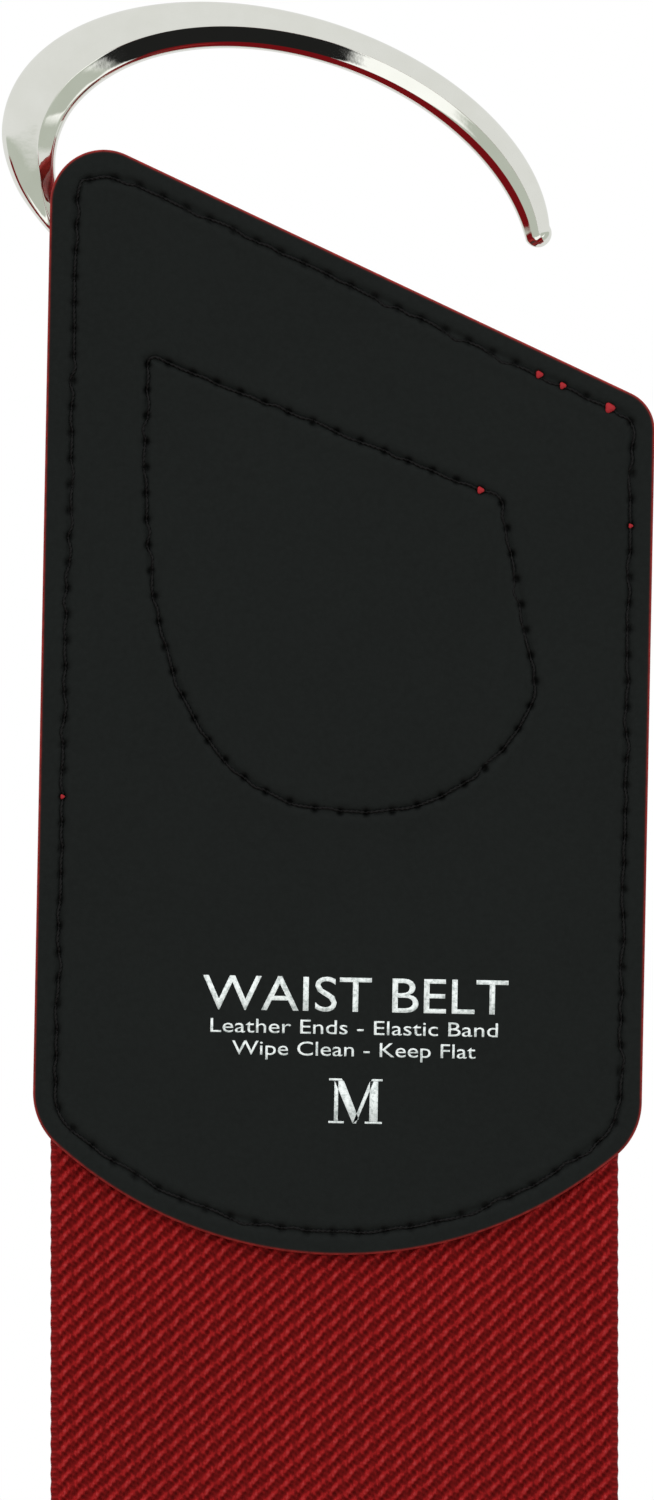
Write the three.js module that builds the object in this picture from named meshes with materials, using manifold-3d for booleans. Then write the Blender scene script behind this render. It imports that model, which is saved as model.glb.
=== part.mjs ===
// Wide elastic waist belt with a leather-faced end and an open oval hook at each end.
// Millimetres. +Z runs up along the belt, X across the band, and the lining faces -Y.
// Both ends are the same: the lower one is the upper one turned half a turn about Y.
import * as THREE from 'three';
import { mergeVertices } from 'three/addons/utils/BufferGeometryUtils.js';
import Module from 'manifold-3d';

const wasm = await Module();
wasm.setup();

// ---- Driving dimensions ------------------------------------------------------------------

// Elastic band.
const BAND_WIDTH = 70;
const BAND_THICKNESS = 2;
const BAND_VISIBLE = 330; // between the lowest points of the two ends
const BAND_INSERTED = 30; // held inside each end
const BAND_EDGE_RADIUS = 0.8;

// Leather end: straight sides, slanted top, round bottom.
const END_OVERHANG = 2.5; // leather past each edge of the band
const END_TOP_HEIGHT = 122.3; // slanted top's height on the centre line, from the lowest point
const SLANT = 24.2; // degrees, falling to +X
const BOTTOM_RADIUS = 52.5;
const CORNER = { high: 6.6, low: 5, bottom: 8.6 };
const END_LEAN = 1.1; // degrees between the end and the band, a sewing tolerance

// Layers.
const LEATHER = 1.3;
const CORE_INSET = 0.6;
const BAND_SLOT_CLEARANCE = 0.4;
const CORE_FLOOR = 20; // the board's side arms stop here, above the bottom corners

// Seams: thread laid in a cut groove.
const THREAD_WIDTH = 0.6;
const THREAD_HEIGHT = 0.42;
const GROOVE_DEPTH = 0.5;
const GROOVE_CLEARANCE = 0.25; // each side of the thread
const EDGE_SEAM_INSET = 2.75;
const EDGE_SEAM_CORNER = { high: 0.6, low: 2.2 };

// Tongue: a shield-shaped strap folded round the hook's bar. Its seam, from the end's lowest point.
const SHIELD_HIGH = [-25.1, 110.4];
const SHIELD_LOW = [18.8, 93.5];
const SHIELD_SIDE = [23.5, 70.5];
const SHIELD_BELLY = { x: 2.5, z: 54.5 }; // lowest point of the seam
const SHIELD_RIGHT_RADIUS = 22;
const SHIELD_LEFT_TOP = 100; // height where the left side turns straight
const SHIELD_LEFT_POWER = 2.5; // how square the left belly is: 2 is an ellipse
const SHIELD_CORNER = { high: 0.8, low: 2, side: 2.5 };
const TONGUE_MARGIN = 2.7; // leather outside the seam
const TONGUE_RAISE = 14; // how far its outline runs on past the seam, to take in the fold
const FOLD_GAP = 0.05; // between the strap's two legs

// Hook: a bar in the tongue's fold, a bend, and an oval arc that narrows to a round tip.
// Along is measured down the slant, and rise square to it, both from the top's middle.
const OUTER_OVAL = { along: -12.7, rise: 4.5, half: 34.75, height: 21.26, tilt: 8.3 };
const INNER_OVAL = { along: -9.1, rise: 0.9, half: 30.64, height: 20.27, tilt: 5 };
const OUTER_SPAN = [14, 205]; // degrees round the outer oval, from the tip to the bend
const INNER_SPAN = [24, 197.5];
const BAR_RADIUS = 1.6;
const BAR_RISE = -12.5;
const BAR_ALONG = [-30, 27]; // bend end and free end
const BAR_CLEARANCE = 0.3; // between the bar and the fold
const HOOK_DEPTH = { bend: 4.4, tip: 2.8 };

const COLOURS = {
  liningLeather: 0x1e201f,
  frontLeather: 0x8e1a20,
  board: 0x6f5a44,
  elastic: 0xa5161c,
  chrome: 0xc9ccc6,
  liningThread: 0x0c0c0c,
  frontThread: 0x7a1018,
};

// ---- Sizes that follow from them ---------------------------------------------------------

const rad = THREE.MathUtils.degToRad;
const halfEnd = BAND_WIDTH / 2 + END_OVERHANG;
const slantCos = Math.cos(rad(SLANT));
const slantSin = Math.sin(rad(SLANT));

const backInner = -BAND_THICKNESS / 2;
const backOuter = backInner - LEATHER;
const frontInner = BAND_THICKNESS / 2;
const frontOuter = frontInner + LEATHER;
const foldRadius = BAR_RADIUS + BAR_CLEARANCE + LEATHER / 2; // middle of the folded strap
const barDepth = frontOuter + foldRadius + LEATHER / 2;
const tongueOuter = frontOuter + 2 * LEATHER + FOLD_GAP;
const frontmost = barDepth + foldRadius + LEATHER / 2;
const depthCentre = (backOuter + frontmost) / 2;

// ---- Outlines in the end's own X and Z ---------------------------------------------------

// A point given along the slant and square to it.
function onSlant(along, rise) {
  return [
    along * slantCos + rise * slantSin,
    END_TOP_HEIGHT - along * slantSin + rise * slantCos,
  ];
}

// Points of an arc round (x, z), from angle a to angle b in degrees.
function arc(x, z, radius, a, b, steps) {
  return Array.from({ length: steps + 1 }, (_, i) => {
    const t = rad(a + ((b - a) * i) / steps);
    return [x + radius * Math.cos(t), z + radius * Math.sin(t)];
  });
}

// The corner at p between the lines to a and b, rounded to the given radius.
function rounded(a, p, b, radius, steps) {
  const toA = new THREE.Vector2(a[0] - p[0], a[1] - p[1]).normalize();
  const toB = new THREE.Vector2(b[0] - p[0], b[1] - p[1]).normalize();
  const half = toA.angleTo(toB) / 2;
  const middle = toA.clone().add(toB).normalize().multiplyScalar(radius / Math.sin(half));
  const centre = new THREE.Vector2(p[0], p[1]).add(middle);
  const tangent = radius / Math.tan(half);
  const start = toA.multiplyScalar(tangent).add(new THREE.Vector2(p[0], p[1])).sub(centre);
  const end = toB.multiplyScalar(tangent).add(new THREE.Vector2(p[0], p[1])).sub(centre);
  const from = Math.atan2(start.y, start.x);
  let turn = Math.atan2(end.y, end.x) - from;
  turn -= 2 * Math.PI * Math.round(turn / (2 * Math.PI));
  return Array.from({ length: steps + 1 }, (_, i) => [
    centre.x + radius * Math.cos(from + (turn * i) / steps),
    centre.y + radius * Math.sin(from + (turn * i) / steps),
  ]);
}

// The leather end's outline moved inwards, clockwise from the high top corner.
function endOutline(inset, corner) {
  const side = halfEnd - inset;
  const high = [-side, END_TOP_HEIGHT + (side * slantSin - inset) / slantCos];
  const low = [side, END_TOP_HEIGHT - (side * slantSin + inset) / slantCos];
  const bottomRadius = BOTTOM_RADIUS - inset;
  const fillet = Math.max(CORNER.bottom - inset, 1);
  const filletX = side - fillet;
  const filletZ = BOTTOM_RADIUS - Math.sqrt((bottomRadius - fillet) ** 2 - filletX ** 2);
  const meet = THREE.MathUtils.radToDeg(Math.atan2(BOTTOM_RADIUS - filletZ, filletX));
  return [
    ...rounded([-side, 0], high, low, corner.high, 6),
    ...rounded(high, low, [side, 0], corner.low, 5),
    ...arc(filletX, filletZ, fillet, 0, -meet, 4),
    ...arc(0, BOTTOM_RADIUS, bottomRadius, -meet, meet - 180, 14).slice(1, -1),
    ...arc(-filletX, filletZ, fillet, meet - 180, -180, 4),
  ];
}

// The tongue's seam line, clockwise from its high corner, with its top edge raised along the sides.
function shieldOutline(raise) {
  const { x, z } = SHIELD_BELLY;
  const lean = (SHIELD_SIDE[0] - SHIELD_LOW[0]) / (SHIELD_LOW[1] - SHIELD_SIDE[1]);
  const high = [SHIELD_HIGH[0], SHIELD_HIGH[1] + raise];
  const low = [SHIELD_LOW[0] - raise * lean, SHIELD_LOW[1] + raise];
  const rightBelly = arc(x, z + SHIELD_RIGHT_RADIUS, SHIELD_RIGHT_RADIUS, -20, -90, 8);
  const leftTurns = Array.from({ length: 12 }, (_, i) => (Math.PI / 2) * ((i + 1) / 13));
  const leftBelly = leftTurns.map((t) => [
    x - (x - high[0]) * Math.sin(t) ** (2 / SHIELD_LEFT_POWER),
    SHIELD_LEFT_TOP - (SHIELD_LEFT_TOP - z) * Math.cos(t) ** (2 / SHIELD_LEFT_POWER),
  ]);
  const leftTop = [high[0], SHIELD_LEFT_TOP];
  return [
    ...rounded(leftTop, high, low, SHIELD_CORNER.high, 3),
    ...rounded(high, low, SHIELD_SIDE, SHIELD_CORNER.low, 4),
    ...rounded(low, SHIELD_SIDE, rightBelly[0], SHIELD_CORNER.side, 3),
    ...rightBelly,
    ...leftBelly,
    leftTop,
  ];
}

// A line or closed loop of points moved to its left by a distance, with mitred corners.
function shifted(path, distance, closed) {
  const normal = (a, b) => {
    const length = Math.hypot(b[0] - a[0], b[1] - a[1]);
    return [(a[1] - b[1]) / length, (b[0] - a[0]) / length];
  };
  return path.map((p, i) => {
    const before = closed ? path.at(i - 1) : path[Math.max(i - 1, 0)];
    const after = closed ? path[(i + 1) % path.length] : path[Math.min(i + 1, path.length - 1)];
    const n1 = before === p ? normal(p, after) : normal(before, p);
    const n2 = after === p ? n1 : normal(p, after);
    const scale = distance / (1 + n1[0] * n2[0] + n1[1] * n2[1]);
    return [p[0] + (n1[0] + n2[0]) * scale, p[1] + (n1[1] + n2[1]) * scale];
  });
}

// ---- Solids ------------------------------------------------------------------------------

// A closed geometry as a solid that can be cut, and back again.
function toSolid(geometry) {
  const bare = geometry.clone();
  bare.deleteAttribute('normal');
  bare.deleteAttribute('uv');
  const merged = mergeVertices(bare, 1e-4);
  return new wasm.Manifold(
    new wasm.Mesh({
      numProp: 3,
      vertProperties: new Float32Array(merged.attributes.position.array),
      triVerts: new Uint32Array(merged.index.array),
    }),
  );
}

function toGeometry(body) {
  const { vertProperties, triVerts } = body.getMesh();
  const geometry = new THREE.BufferGeometry();
  geometry.setAttribute('position', new THREE.Float32BufferAttribute(vertProperties, 3));
  geometry.setIndex(new THREE.Uint32BufferAttribute(triVerts, 1));
  geometry.computeVertexNormals();
  return geometry;
}

function cut(geometry, ...tools) {
  return toGeometry(tools.reduce((body, tool) => body.subtract(toSolid(tool)), toSolid(geometry)));
}

function common(a, b) {
  return toGeometry(toSolid(a).intersect(toSolid(b)));
}

// An outline drawn out along +Z from z = 0.
function extruded(outline, depth, hole) {
  const shape = new THREE.Shape(outline.map(([a, b]) => new THREE.Vector2(a, b)));
  if (hole) shape.holes.push(new THREE.Path(hole.map(([a, b]) => new THREE.Vector2(a, b))));
  return new THREE.ExtrudeGeometry(shape, { depth, bevelEnabled: false });
}

// A flat plate with an X-Z outline between two depths.
function plate(outline, y0, y1, hole) {
  return extruded(outline, y1 - y0, hole)
    .rotateX(Math.PI / 2)
    .translate(0, y1, 0);
}

// A ring of even width along a closed line, between two depths. Its hole runs the other way round.
function ring(path, width, y0, y1) {
  const outer = shifted(path, width / 2, true);
  const hole = shifted(path, -width / 2, true).reverse();
  return plate(outer, y0, y1, hole);
}

// A skin over a row of equal loops of points, with a fan over each end.
function loft(loops) {
  const size = loops[0].length;
  const middle = (loop) => [0, 1, 2].map((k) => loop.reduce((s, p) => s + p[k], 0) / size);
  const points = [...loops.flat(), middle(loops[0]), middle(loops.at(-1))];
  const triangles = [];
  for (let i = 0; i + 1 < loops.length; i += 1) {
    for (let j = 0; j < size; j += 1) {
      const a = i * size + j;
      const b = i * size + ((j + 1) % size);
      triangles.push(a, b, b + size, a, b + size, a + size);
    }
  }
  const last = (loops.length - 1) * size;
  for (let j = 0; j < size; j += 1) {
    const next = (j + 1) % size;
    triangles.push(points.length - 2, next, j);
    triangles.push(points.length - 1, last + j, last + next);
  }
  const geometry = new THREE.BufferGeometry();
  geometry.setAttribute('position', new THREE.Float32BufferAttribute(points.flat(), 3));
  geometry.setIndex(triangles);
  geometry.computeVertexNormals();
  return geometry;
}

// ---- Pieces of one end -------------------------------------------------------------------

const edge = endOutline(0, CORNER);
const edgeSeam = endOutline(EDGE_SEAM_INSET, EDGE_SEAM_CORNER);
const tongueSeam = shieldOutline(0);
const grooveWidth = THREAD_WIDTH + 2 * GROOVE_CLEARANCE;

// A seam's thread on a face at the given depth, and the groove that takes it.
function seam(path, face, outward) {
  const floor = face - outward * GROOVE_DEPTH;
  const top = floor + outward * THREAD_HEIGHT;
  const above = face + outward * GROOVE_DEPTH;
  return {
    thread: ring(path, THREAD_WIDTH, Math.min(floor, top), Math.max(floor, top)),
    groove: ring(path, grooveWidth, Math.min(floor, above), Math.max(floor, above)),
  };
}

const edgeBack = seam(edgeSeam, backOuter, -1);
const edgeFront = seam(edgeSeam, frontOuter, 1);
const tongueBack = seam(tongueSeam, backOuter, -1);
const tongueFront = seam(tongueSeam, tongueOuter, 1);

const liningLeather = cut(
  plate(edge, backOuter, backInner),
  edgeBack.groove,
  tongueBack.groove,
);
const frontLeather = cut(plate(edge, frontInner, frontOuter), edgeFront.groove);

// The board fills the end round the band.
function coreBoard() {
  const thick = LEATHER * 4;
  const slotTop = BAND_INSERTED + BAND_SLOT_CLEARANCE;
  const slot = new THREE.BoxGeometry(BAND_WIDTH + 2 * BAND_SLOT_CLEARANCE, thick, 100)
    .translate(0, 0, slotTop - 50)
    .rotateY(-rad(END_LEAN));
  const below = new THREE.BoxGeometry(4 * halfEnd, thick, 100).translate(0, 0, CORE_FLOOR - 50);
  const board = plate(endOutline(CORE_INSET, CORNER), backInner, frontInner);
  return cut(board, slot, below);
}

// The strap: flat against the front, round the bar, and back down on itself.
function tongue() {
  const innerLeg = frontOuter + LEATHER / 2;
  const outerLeg = tongueOuter - LEATHER / 2;
  const backTurn = LEATHER * 1.25;
  const turnDepth = outerLeg + backTurn;
  const turnReach = foldRadius + backTurn;
  const turnRise = BAR_RISE - Math.sqrt(turnReach ** 2 - (turnDepth - barDepth) ** 2);
  const meet = THREE.MathUtils.radToDeg(Math.atan2(turnDepth - barDepth, turnRise - BAR_RISE));
  const foot = -2 * END_TOP_HEIGHT;
  const middle = [
    [foot, innerLeg],
    ...arc(BAR_RISE, barDepth, foldRadius, -90, meet, 16),
    ...arc(turnRise, turnDepth, backTurn, meet - 180, -90, 5).slice(1),
    [foot, outerLeg],
  ];
  const strap = [
    ...shifted(middle, LEATHER / 2, false),
    ...shifted(middle, -LEATHER / 2, false).reverse(),
  ];
  const rise = new THREE.Vector3(slantSin, 0, slantCos);
  const depth = new THREE.Vector3(0, 1, 0);
  const upSlant = new THREE.Vector3(-slantCos, 0, slantSin);
  const onTop = new THREE.Matrix4().makeBasis(rise, depth, upSlant);
  const folded = extruded(strap, 4 * halfEnd)
    .translate(0, 0, -2 * halfEnd)
    .applyMatrix4(onTop)
    .translate(0, 0, END_TOP_HEIGHT);
  const outline = shifted(shieldOutline(TONGUE_RAISE), TONGUE_MARGIN, true);
  const flat = plate(outline, frontOuter - 1, frontmost + 1);
  return cut(common(folded, flat), tongueFront.groove);
}

// A point of a tilted oval at an angle in degrees.
function onOval(oval, angle) {
  const a = oval.half * Math.cos(rad(angle));
  const b = oval.height * Math.sin(rad(angle));
  const c = Math.cos(rad(oval.tilt));
  const s = Math.sin(rad(oval.tilt));
  return new THREE.Vector2(oval.along + a * c - b * s, oval.rise + a * s + b * c);
}

// The curve from an oval's bend end into the bar.
function bend(oval, angle, barEnd) {
  const start = onOval(oval, angle);
  const heading = onOval(oval, angle + 1).sub(start).normalize();
  const reach = start.distanceTo(barEnd) * 0.45;
  const leave = start.clone().addScaledVector(heading, reach);
  const arrive = barEnd.clone().setX(barEnd.x - reach);
  return new THREE.CubicBezierCurve(start, leave, arrive, barEnd);
}

// The hook, from the bar's free end to the tip. Each section is a closed loop of points, given by
// across (0 at the inside of the oval, 1 at the outside) and depth (-1 behind, 1 in front).
function hook() {
  const arcSection = [
    [0.1, -0.56], [0.42, -1], [0.88, -0.84], [1, -0.4], [1, 0.24], [0.88, 0.72],
    [0.55, 1], [0.22, 0.84], [0.04, 0.32], [0, -0.2],
  ];
  const count = arcSection.length;
  const barSection = arcSection.map((_, i) => {
    const t = rad(-126 + (360 * i) / count);
    return [0.5 + 0.5 * Math.cos(t), Math.sin(t)];
  });
  const stations = [];
  const steps = 26;
  for (let i = 0; i <= steps; i += 1) {
    const k = i / steps;
    stations.push({
      inside: onOval(INNER_OVAL, THREE.MathUtils.lerp(...INNER_SPAN, k)),
      outside: onOval(OUTER_OVAL, THREE.MathUtils.lerp(...OUTER_SPAN, k)),
      depth: THREE.MathUtils.lerp(HOOK_DEPTH.tip, HOOK_DEPTH.bend, k ** 0.7),
      round: 0,
    });
  }
  const barPoint = (along, side) => new THREE.Vector2(along, BAR_RISE + side * BAR_RADIUS);
  const insideBend = bend(INNER_OVAL, INNER_SPAN[1], barPoint(BAR_ALONG[0], 1));
  const outsideBend = bend(OUTER_OVAL, OUTER_SPAN[1], barPoint(BAR_ALONG[0], -1));
  for (let i = 1; i <= 6; i += 1) {
    const k = i / 6;
    stations.push({
      inside: insideBend.getPoint(k),
      outside: outsideBend.getPoint(k),
      depth: THREE.MathUtils.lerp(HOOK_DEPTH.bend, 2 * BAR_RADIUS, k),
      round: k,
    });
  }
  stations.push({
    inside: barPoint(BAR_ALONG[1], 1),
    outside: barPoint(BAR_ALONG[1], -1),
    depth: 2 * BAR_RADIUS,
    round: 1,
  });
  // Round the tip off with sections that shrink as they run on.
  const first = stations[0];
  const middle = first.inside.clone().add(first.outside).divideScalar(2);
  const half = first.outside.clone().sub(first.inside).divideScalar(2);
  const onward = new THREE.Vector2(half.y, -half.x);
  for (const turn of [25, 50, 72]) {
    const centre = middle.clone().addScaledVector(onward, Math.sin(rad(turn)));
    const reach = half.clone().multiplyScalar(Math.cos(rad(turn)));
    stations.unshift({
      inside: centre.clone().sub(reach),
      outside: centre.clone().add(reach),
      depth: first.depth * Math.cos(rad(turn)),
      round: 0,
    });
  }
  const loops = stations.map(({ inside, outside, depth, round }) =>
    arcSection.map((point, i) => {
      const across = THREE.MathUtils.lerp(point[0], barSection[i][0], round);
      const level = THREE.MathUtils.lerp(point[1], barSection[i][1], round);
      const at = inside.clone().lerp(outside, across);
      const [x, z] = onSlant(at.x, at.y);
      return [x, barDepth + (level * depth) / 2, z];
    }),
  );
  return loft(loops);
}

// ---- The belt ----------------------------------------------------------------------------

function piece(name, geometry, color, metalness, roughness) {
  const material = new THREE.MeshStandardMaterial({ color, metalness, roughness });
  const mesh = new THREE.Mesh(geometry, material);
  mesh.name = name;
  return mesh;
}

const endPieces = [
  ['hook', hook(), COLOURS.chrome, 1, 0.12],
  ['tongue', tongue(), COLOURS.frontLeather, 0, 0.45],
  ['front_leather', frontLeather, COLOURS.frontLeather, 0, 0.45],
  ['core_board', coreBoard(), COLOURS.board, 0, 0.9],
  ['lining_leather', liningLeather, COLOURS.liningLeather, 0, 0.6],
  ['edge_thread_front', edgeFront.thread, COLOURS.frontThread, 0, 0.7],
  ['edge_thread_back', edgeBack.thread, COLOURS.liningThread, 0, 0.7],
  ['tongue_thread_front', tongueFront.thread, COLOURS.frontThread, 0, 0.7],
  ['tongue_thread_back', tongueBack.thread, COLOURS.liningThread, 0, 0.7],
];

const belt = new THREE.Group();
belt.name = 'waist_belt';
belt.position.y = -depthCentre;

for (const [end, turn] of [['upper', 0], ['lower', Math.PI]]) {
  const leaning = new THREE.Group();
  leaning.rotation.y = rad(END_LEAN);
  leaning.position.z = BAND_VISIBLE / 2;
  for (const [name, geometry, ...finish] of endPieces) {
    leaning.add(piece(`${end}_${name}`, geometry, ...finish));
  }
  const facing = new THREE.Group();
  facing.rotation.y = turn;
  facing.add(leaning);
  belt.add(facing);
}

// The band, with rounded long edges.
const bandSide = BAND_WIDTH / 2 - BAND_EDGE_RADIUS;
const bandFace = BAND_THICKNESS / 2 - BAND_EDGE_RADIUS;
const bandSection = [
  ...arc(bandSide, bandFace, BAND_EDGE_RADIUS, 0, 90, 4),
  ...arc(-bandSide, bandFace, BAND_EDGE_RADIUS, 90, 180, 4),
  ...arc(-bandSide, -bandFace, BAND_EDGE_RADIUS, 180, 270, 4),
  ...arc(bandSide, -bandFace, BAND_EDGE_RADIUS, 270, 360, 4),
];
const bandLength = BAND_VISIBLE + 2 * BAND_INSERTED;
const band = extruded(bandSection, bandLength).translate(0, 0, -bandLength / 2);
belt.add(piece('elastic_band', band, COLOURS.elastic, 0, 0.8));

export default belt;
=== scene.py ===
"""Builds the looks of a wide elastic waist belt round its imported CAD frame.

Lengths inside the shape functions are millimetres in one end's own frame: X across the end, Y
through its layers (the lining faces -Y) and Z up from its lowest point. place() leans, lifts and
turns them onto the upper or lower end and gives metres.
"""

import math
from functools import cache

import bmesh
import bpy
import numpy as np
from bpy.props import FloatProperty, FloatVectorProperty, IntProperty, PointerProperty
from bpy.types import Operator, Panel, PropertyGroup
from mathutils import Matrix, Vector


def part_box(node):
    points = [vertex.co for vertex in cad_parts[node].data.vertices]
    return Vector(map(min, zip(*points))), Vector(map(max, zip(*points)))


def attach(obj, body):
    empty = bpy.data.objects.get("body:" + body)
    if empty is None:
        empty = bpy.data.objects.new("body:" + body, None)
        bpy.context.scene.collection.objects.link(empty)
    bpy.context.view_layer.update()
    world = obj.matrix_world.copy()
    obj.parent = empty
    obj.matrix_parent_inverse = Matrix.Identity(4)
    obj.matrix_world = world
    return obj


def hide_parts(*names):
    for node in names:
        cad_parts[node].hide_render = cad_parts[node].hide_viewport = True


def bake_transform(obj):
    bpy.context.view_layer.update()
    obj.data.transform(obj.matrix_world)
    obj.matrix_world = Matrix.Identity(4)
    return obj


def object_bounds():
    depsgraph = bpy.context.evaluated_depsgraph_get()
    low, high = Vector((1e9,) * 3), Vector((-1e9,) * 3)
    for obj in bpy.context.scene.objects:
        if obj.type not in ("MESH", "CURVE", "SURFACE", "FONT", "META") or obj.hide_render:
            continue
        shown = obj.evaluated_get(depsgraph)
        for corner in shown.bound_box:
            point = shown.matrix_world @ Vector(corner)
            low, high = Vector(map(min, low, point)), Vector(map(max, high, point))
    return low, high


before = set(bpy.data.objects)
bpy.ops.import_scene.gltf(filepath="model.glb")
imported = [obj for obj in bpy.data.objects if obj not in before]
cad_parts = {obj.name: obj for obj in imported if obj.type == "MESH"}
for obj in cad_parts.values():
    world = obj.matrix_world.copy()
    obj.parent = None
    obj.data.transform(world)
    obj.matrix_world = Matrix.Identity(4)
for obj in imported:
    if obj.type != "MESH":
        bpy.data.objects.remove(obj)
CAD_BOX = [list(corner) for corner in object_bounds()]

bl_info = {
    "name": "Elastic Waist Belt",
    "version": (1, 0, 0),
    "blender": (4, 5, 0),
    "location": "3D View > Sidebar > Belt",
    "description": "Weaves, cuts, folds, casts and sews the pieces of a wide elastic waist belt",
    "category": "Object",
}

ENDS = ("upper", "lower")

# The end's pattern, in millimetres, as cut.
BAND_LOW, BAND_HIGH = (np.array(corner) * 1000 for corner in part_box("elastic_band"))
BAND_TUCKED = 30.0
WEAVE_MAP = 100.0
END_OVERHANG = 2.5
HALF_END = (BAND_HIGH[0] - BAND_LOW[0]) / 2 + END_OVERHANG
END_LIFT = BAND_HIGH[2] - BAND_TUCKED
END_LEAN = math.radians(1.1)
TOP_HEIGHT = 122.3
SLANT = math.radians(24.2)
BOTTOM_RADIUS = 52.5
CORNERS = {"high": 6.6, "low": 5.0, "bottom": 8.6}
SEAM_INSET = 2.75
SEAM_CORNERS = {"high": 0.6, "low": 2.2, "bottom": 5.85}
SEAM_TURN = np.array(((-34.2, 129.4), (-33.5, 131.7), (-30.4, 132.2), (-27.2, 131.5)))

LEATHER = 1.3
CORE = BAND_HIGH[1] - BAND_LOW[1]
BACK_OUTER = -CORE / 2 - LEATHER
BACK_INNER = -CORE / 2
FRONT_INNER = CORE / 2
FRONT_OUTER = CORE / 2 + LEATHER
DEPTH_CENTRE = -(BAND_HIGH[1] + BAND_LOW[1]) / 2

SHIELD_HIGH = np.array((-25.1, 110.4))
SHIELD_LOW = np.array((18.8, 93.5))
SHIELD_SIDE = np.array((23.5, 70.5))
SHIELD_BELLY = np.array((2.5, 54.5))
SHIELD_RIGHT_RADIUS = 22.0
SHIELD_LEFT_TOP = 100.0
SHIELD_LEFT_POWER = 2.5
SHIELD_CORNERS = {"high": 0.8, "low": 2.0, "side": 2.5}
SHIELD_CENTRE = np.array((-1.0, 80.0))
TONGUE_MARGIN = 2.7
TONGUE_RAISE = 14.0
FOLD_GAP = 0.05

OUTER_OVAL = {"along": -12.7, "rise": 4.5, "half": 34.75, "height": 21.26, "tilt": 8.3}
INNER_OVAL = {"along": -9.1, "rise": 0.9, "half": 30.64, "height": 20.27, "tilt": 5.0}
OUTER_SPAN = (14.0, 188.0)
INNER_SPAN = (24.0, 168.0)
BAR_RADIUS = 1.6
BAR_RISE = -12.5
BAR_ALONG = (-30.0, 27.0)
BAR_CLEARANCE = 0.3
HOOK_DEPTH = (2.8, 4.4)
TIP_STEPS, OVAL_STEPS, BEND_STEPS, SECTION_POINTS = 11, 150, 40, 72
LEG_STEPS = 89
FOLD_RADIUS = BAR_RADIUS + BAR_CLEARANCE + LEATHER / 2
BAR_DEPTH = FRONT_OUTER + FOLD_RADIUS + LEATHER / 2
TONGUE_OUTER = FRONT_OUTER + 2 * LEATHER + FOLD_GAP


# Colour and nodes.


def hex_colour(text):
    """An sRGB hex colour as linear red, green and blue."""
    srgb = np.array([int(text[i : i + 2], 16) for i in (1, 3, 5)]) / 255
    linear = np.where(srgb <= 0.04045, srgb / 12.92, ((srgb + 0.055) / 1.055) ** 2.4)
    return tuple(float(c) for c in linear)


def shaded(colour, by):
    """A colour times a number, at most white."""
    return tuple(min(1.0, c * by) for c in colour)


def add(tree, kind, inputs=None, stops=(), **settings):
    """Adds one node, sets its settings and any colour stops, each a position and a colour, and
    sets or links each named or numbered input. A node given as an input gives its first output."""
    made = tree.nodes.new(kind)
    for name, value in settings.items():
        setattr(made, name, value)
    for key, value in (inputs or {}).items():
        socket = made.inputs[key]
        if isinstance(value, bpy.types.Node):
            value = value.outputs[0]
        if isinstance(value, bpy.types.NodeSocket):
            tree.links.new(value, socket)
        elif isinstance(value, tuple) and len(value) == 3 and socket.type == "RGBA":
            socket.default_value = (*value, 1.0)
        else:
            socket.default_value = value
    if stops:
        elements = made.color_ramp.elements
        while len(elements) < len(stops):
            elements.new(1.0)
        for element, (position, colour) in zip(elements, stops):
            element.position = position
            element.color = (*colour, 1.0)
    return made


def new_material(name):
    """An empty material and its node tree."""
    material = bpy.data.materials.new(name)
    material.use_nodes = True
    material.node_tree.nodes.clear()
    return material, material.node_tree


# Settings.


class BeltSettings(PropertyGroup):
    rib_pitch: FloatProperty(
        name="Rib pitch", description="Twill ribs, measured up the band, in mm", default=1.855, min=0.5
    )
    rib_angle: FloatProperty(
        name="Rib angle",
        description="Twill ribs' climb across the band",
        default=math.radians(40.5),
        subtype="ANGLE",
    )
    column_pitch: FloatProperty(
        name="Column pitch", description="Warp columns across the band, in mm", default=1.957, min=0.5
    )
    rib_depth: FloatProperty(
        name="Rib depth", description="Depth of the grooves between ribs, in mm", default=0.26, min=0.0
    )
    stitch: FloatProperty(
        name="Stitch", description="Length of one stitch, in mm", default=3.2, min=1.0
    )
    thread: FloatProperty(
        name="Thread", description="Thickness of the sewing thread, in mm", default=0.36, min=0.1
    )
    columns: IntProperty(
        name="Leather columns", description="Grid columns round each leather plate", default=840
    )
    lining_colour: FloatVectorProperty(
        name="Lining", subtype="COLOR", default=hex_colour("#171A19"), description="Lining leather"
    )
    front_colour: FloatVectorProperty(
        name="Front", subtype="COLOR", default=hex_colour("#8A141B"), description="Front leather"
    )
    band_colour: FloatVectorProperty(
        name="Band", subtype="COLOR", default=hex_colour("#961718"), description="Crest of a rib"
    )
    # Painted shade: the grooves between ribs get this darker colour in place of their shade.
    groove_shade_colour: FloatVectorProperty(
        name="Groove", subtype="COLOR", default=hex_colour("#500000"), description="Between ribs"
    )


def settings():
    """The scene's belt settings."""
    return bpy.context.scene.belt


# Lines in the end's X and Z.


def on_slant(along, rise):
    """A point along the slanted top and square to it, from the top's middle, as X and Z."""
    along, rise = np.broadcast_arrays(along, rise)
    x = along * math.cos(SLANT) + rise * math.sin(SLANT)
    z = TOP_HEIGHT - along * math.sin(SLANT) + rise * math.cos(SLANT)
    return np.stack((x, z), -1)


def to_slant(points):
    """X and Z as along the slant and square to it: the inverse of on_slant."""
    x, z = points[..., 0], points[..., 1] - TOP_HEIGHT
    c, s = math.cos(SLANT), math.sin(SLANT)
    return np.stack((x * c - z * s, x * s + z * c), -1)


def arc(centre, radius, start, end, steps):
    """Centre plus radius times the cosine and sine of angles from start to end, in degrees."""
    t = np.radians(np.linspace(start, end, steps + 1))
    return np.asarray(centre) + radius * np.stack((np.cos(t), np.sin(t)), -1)


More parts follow.
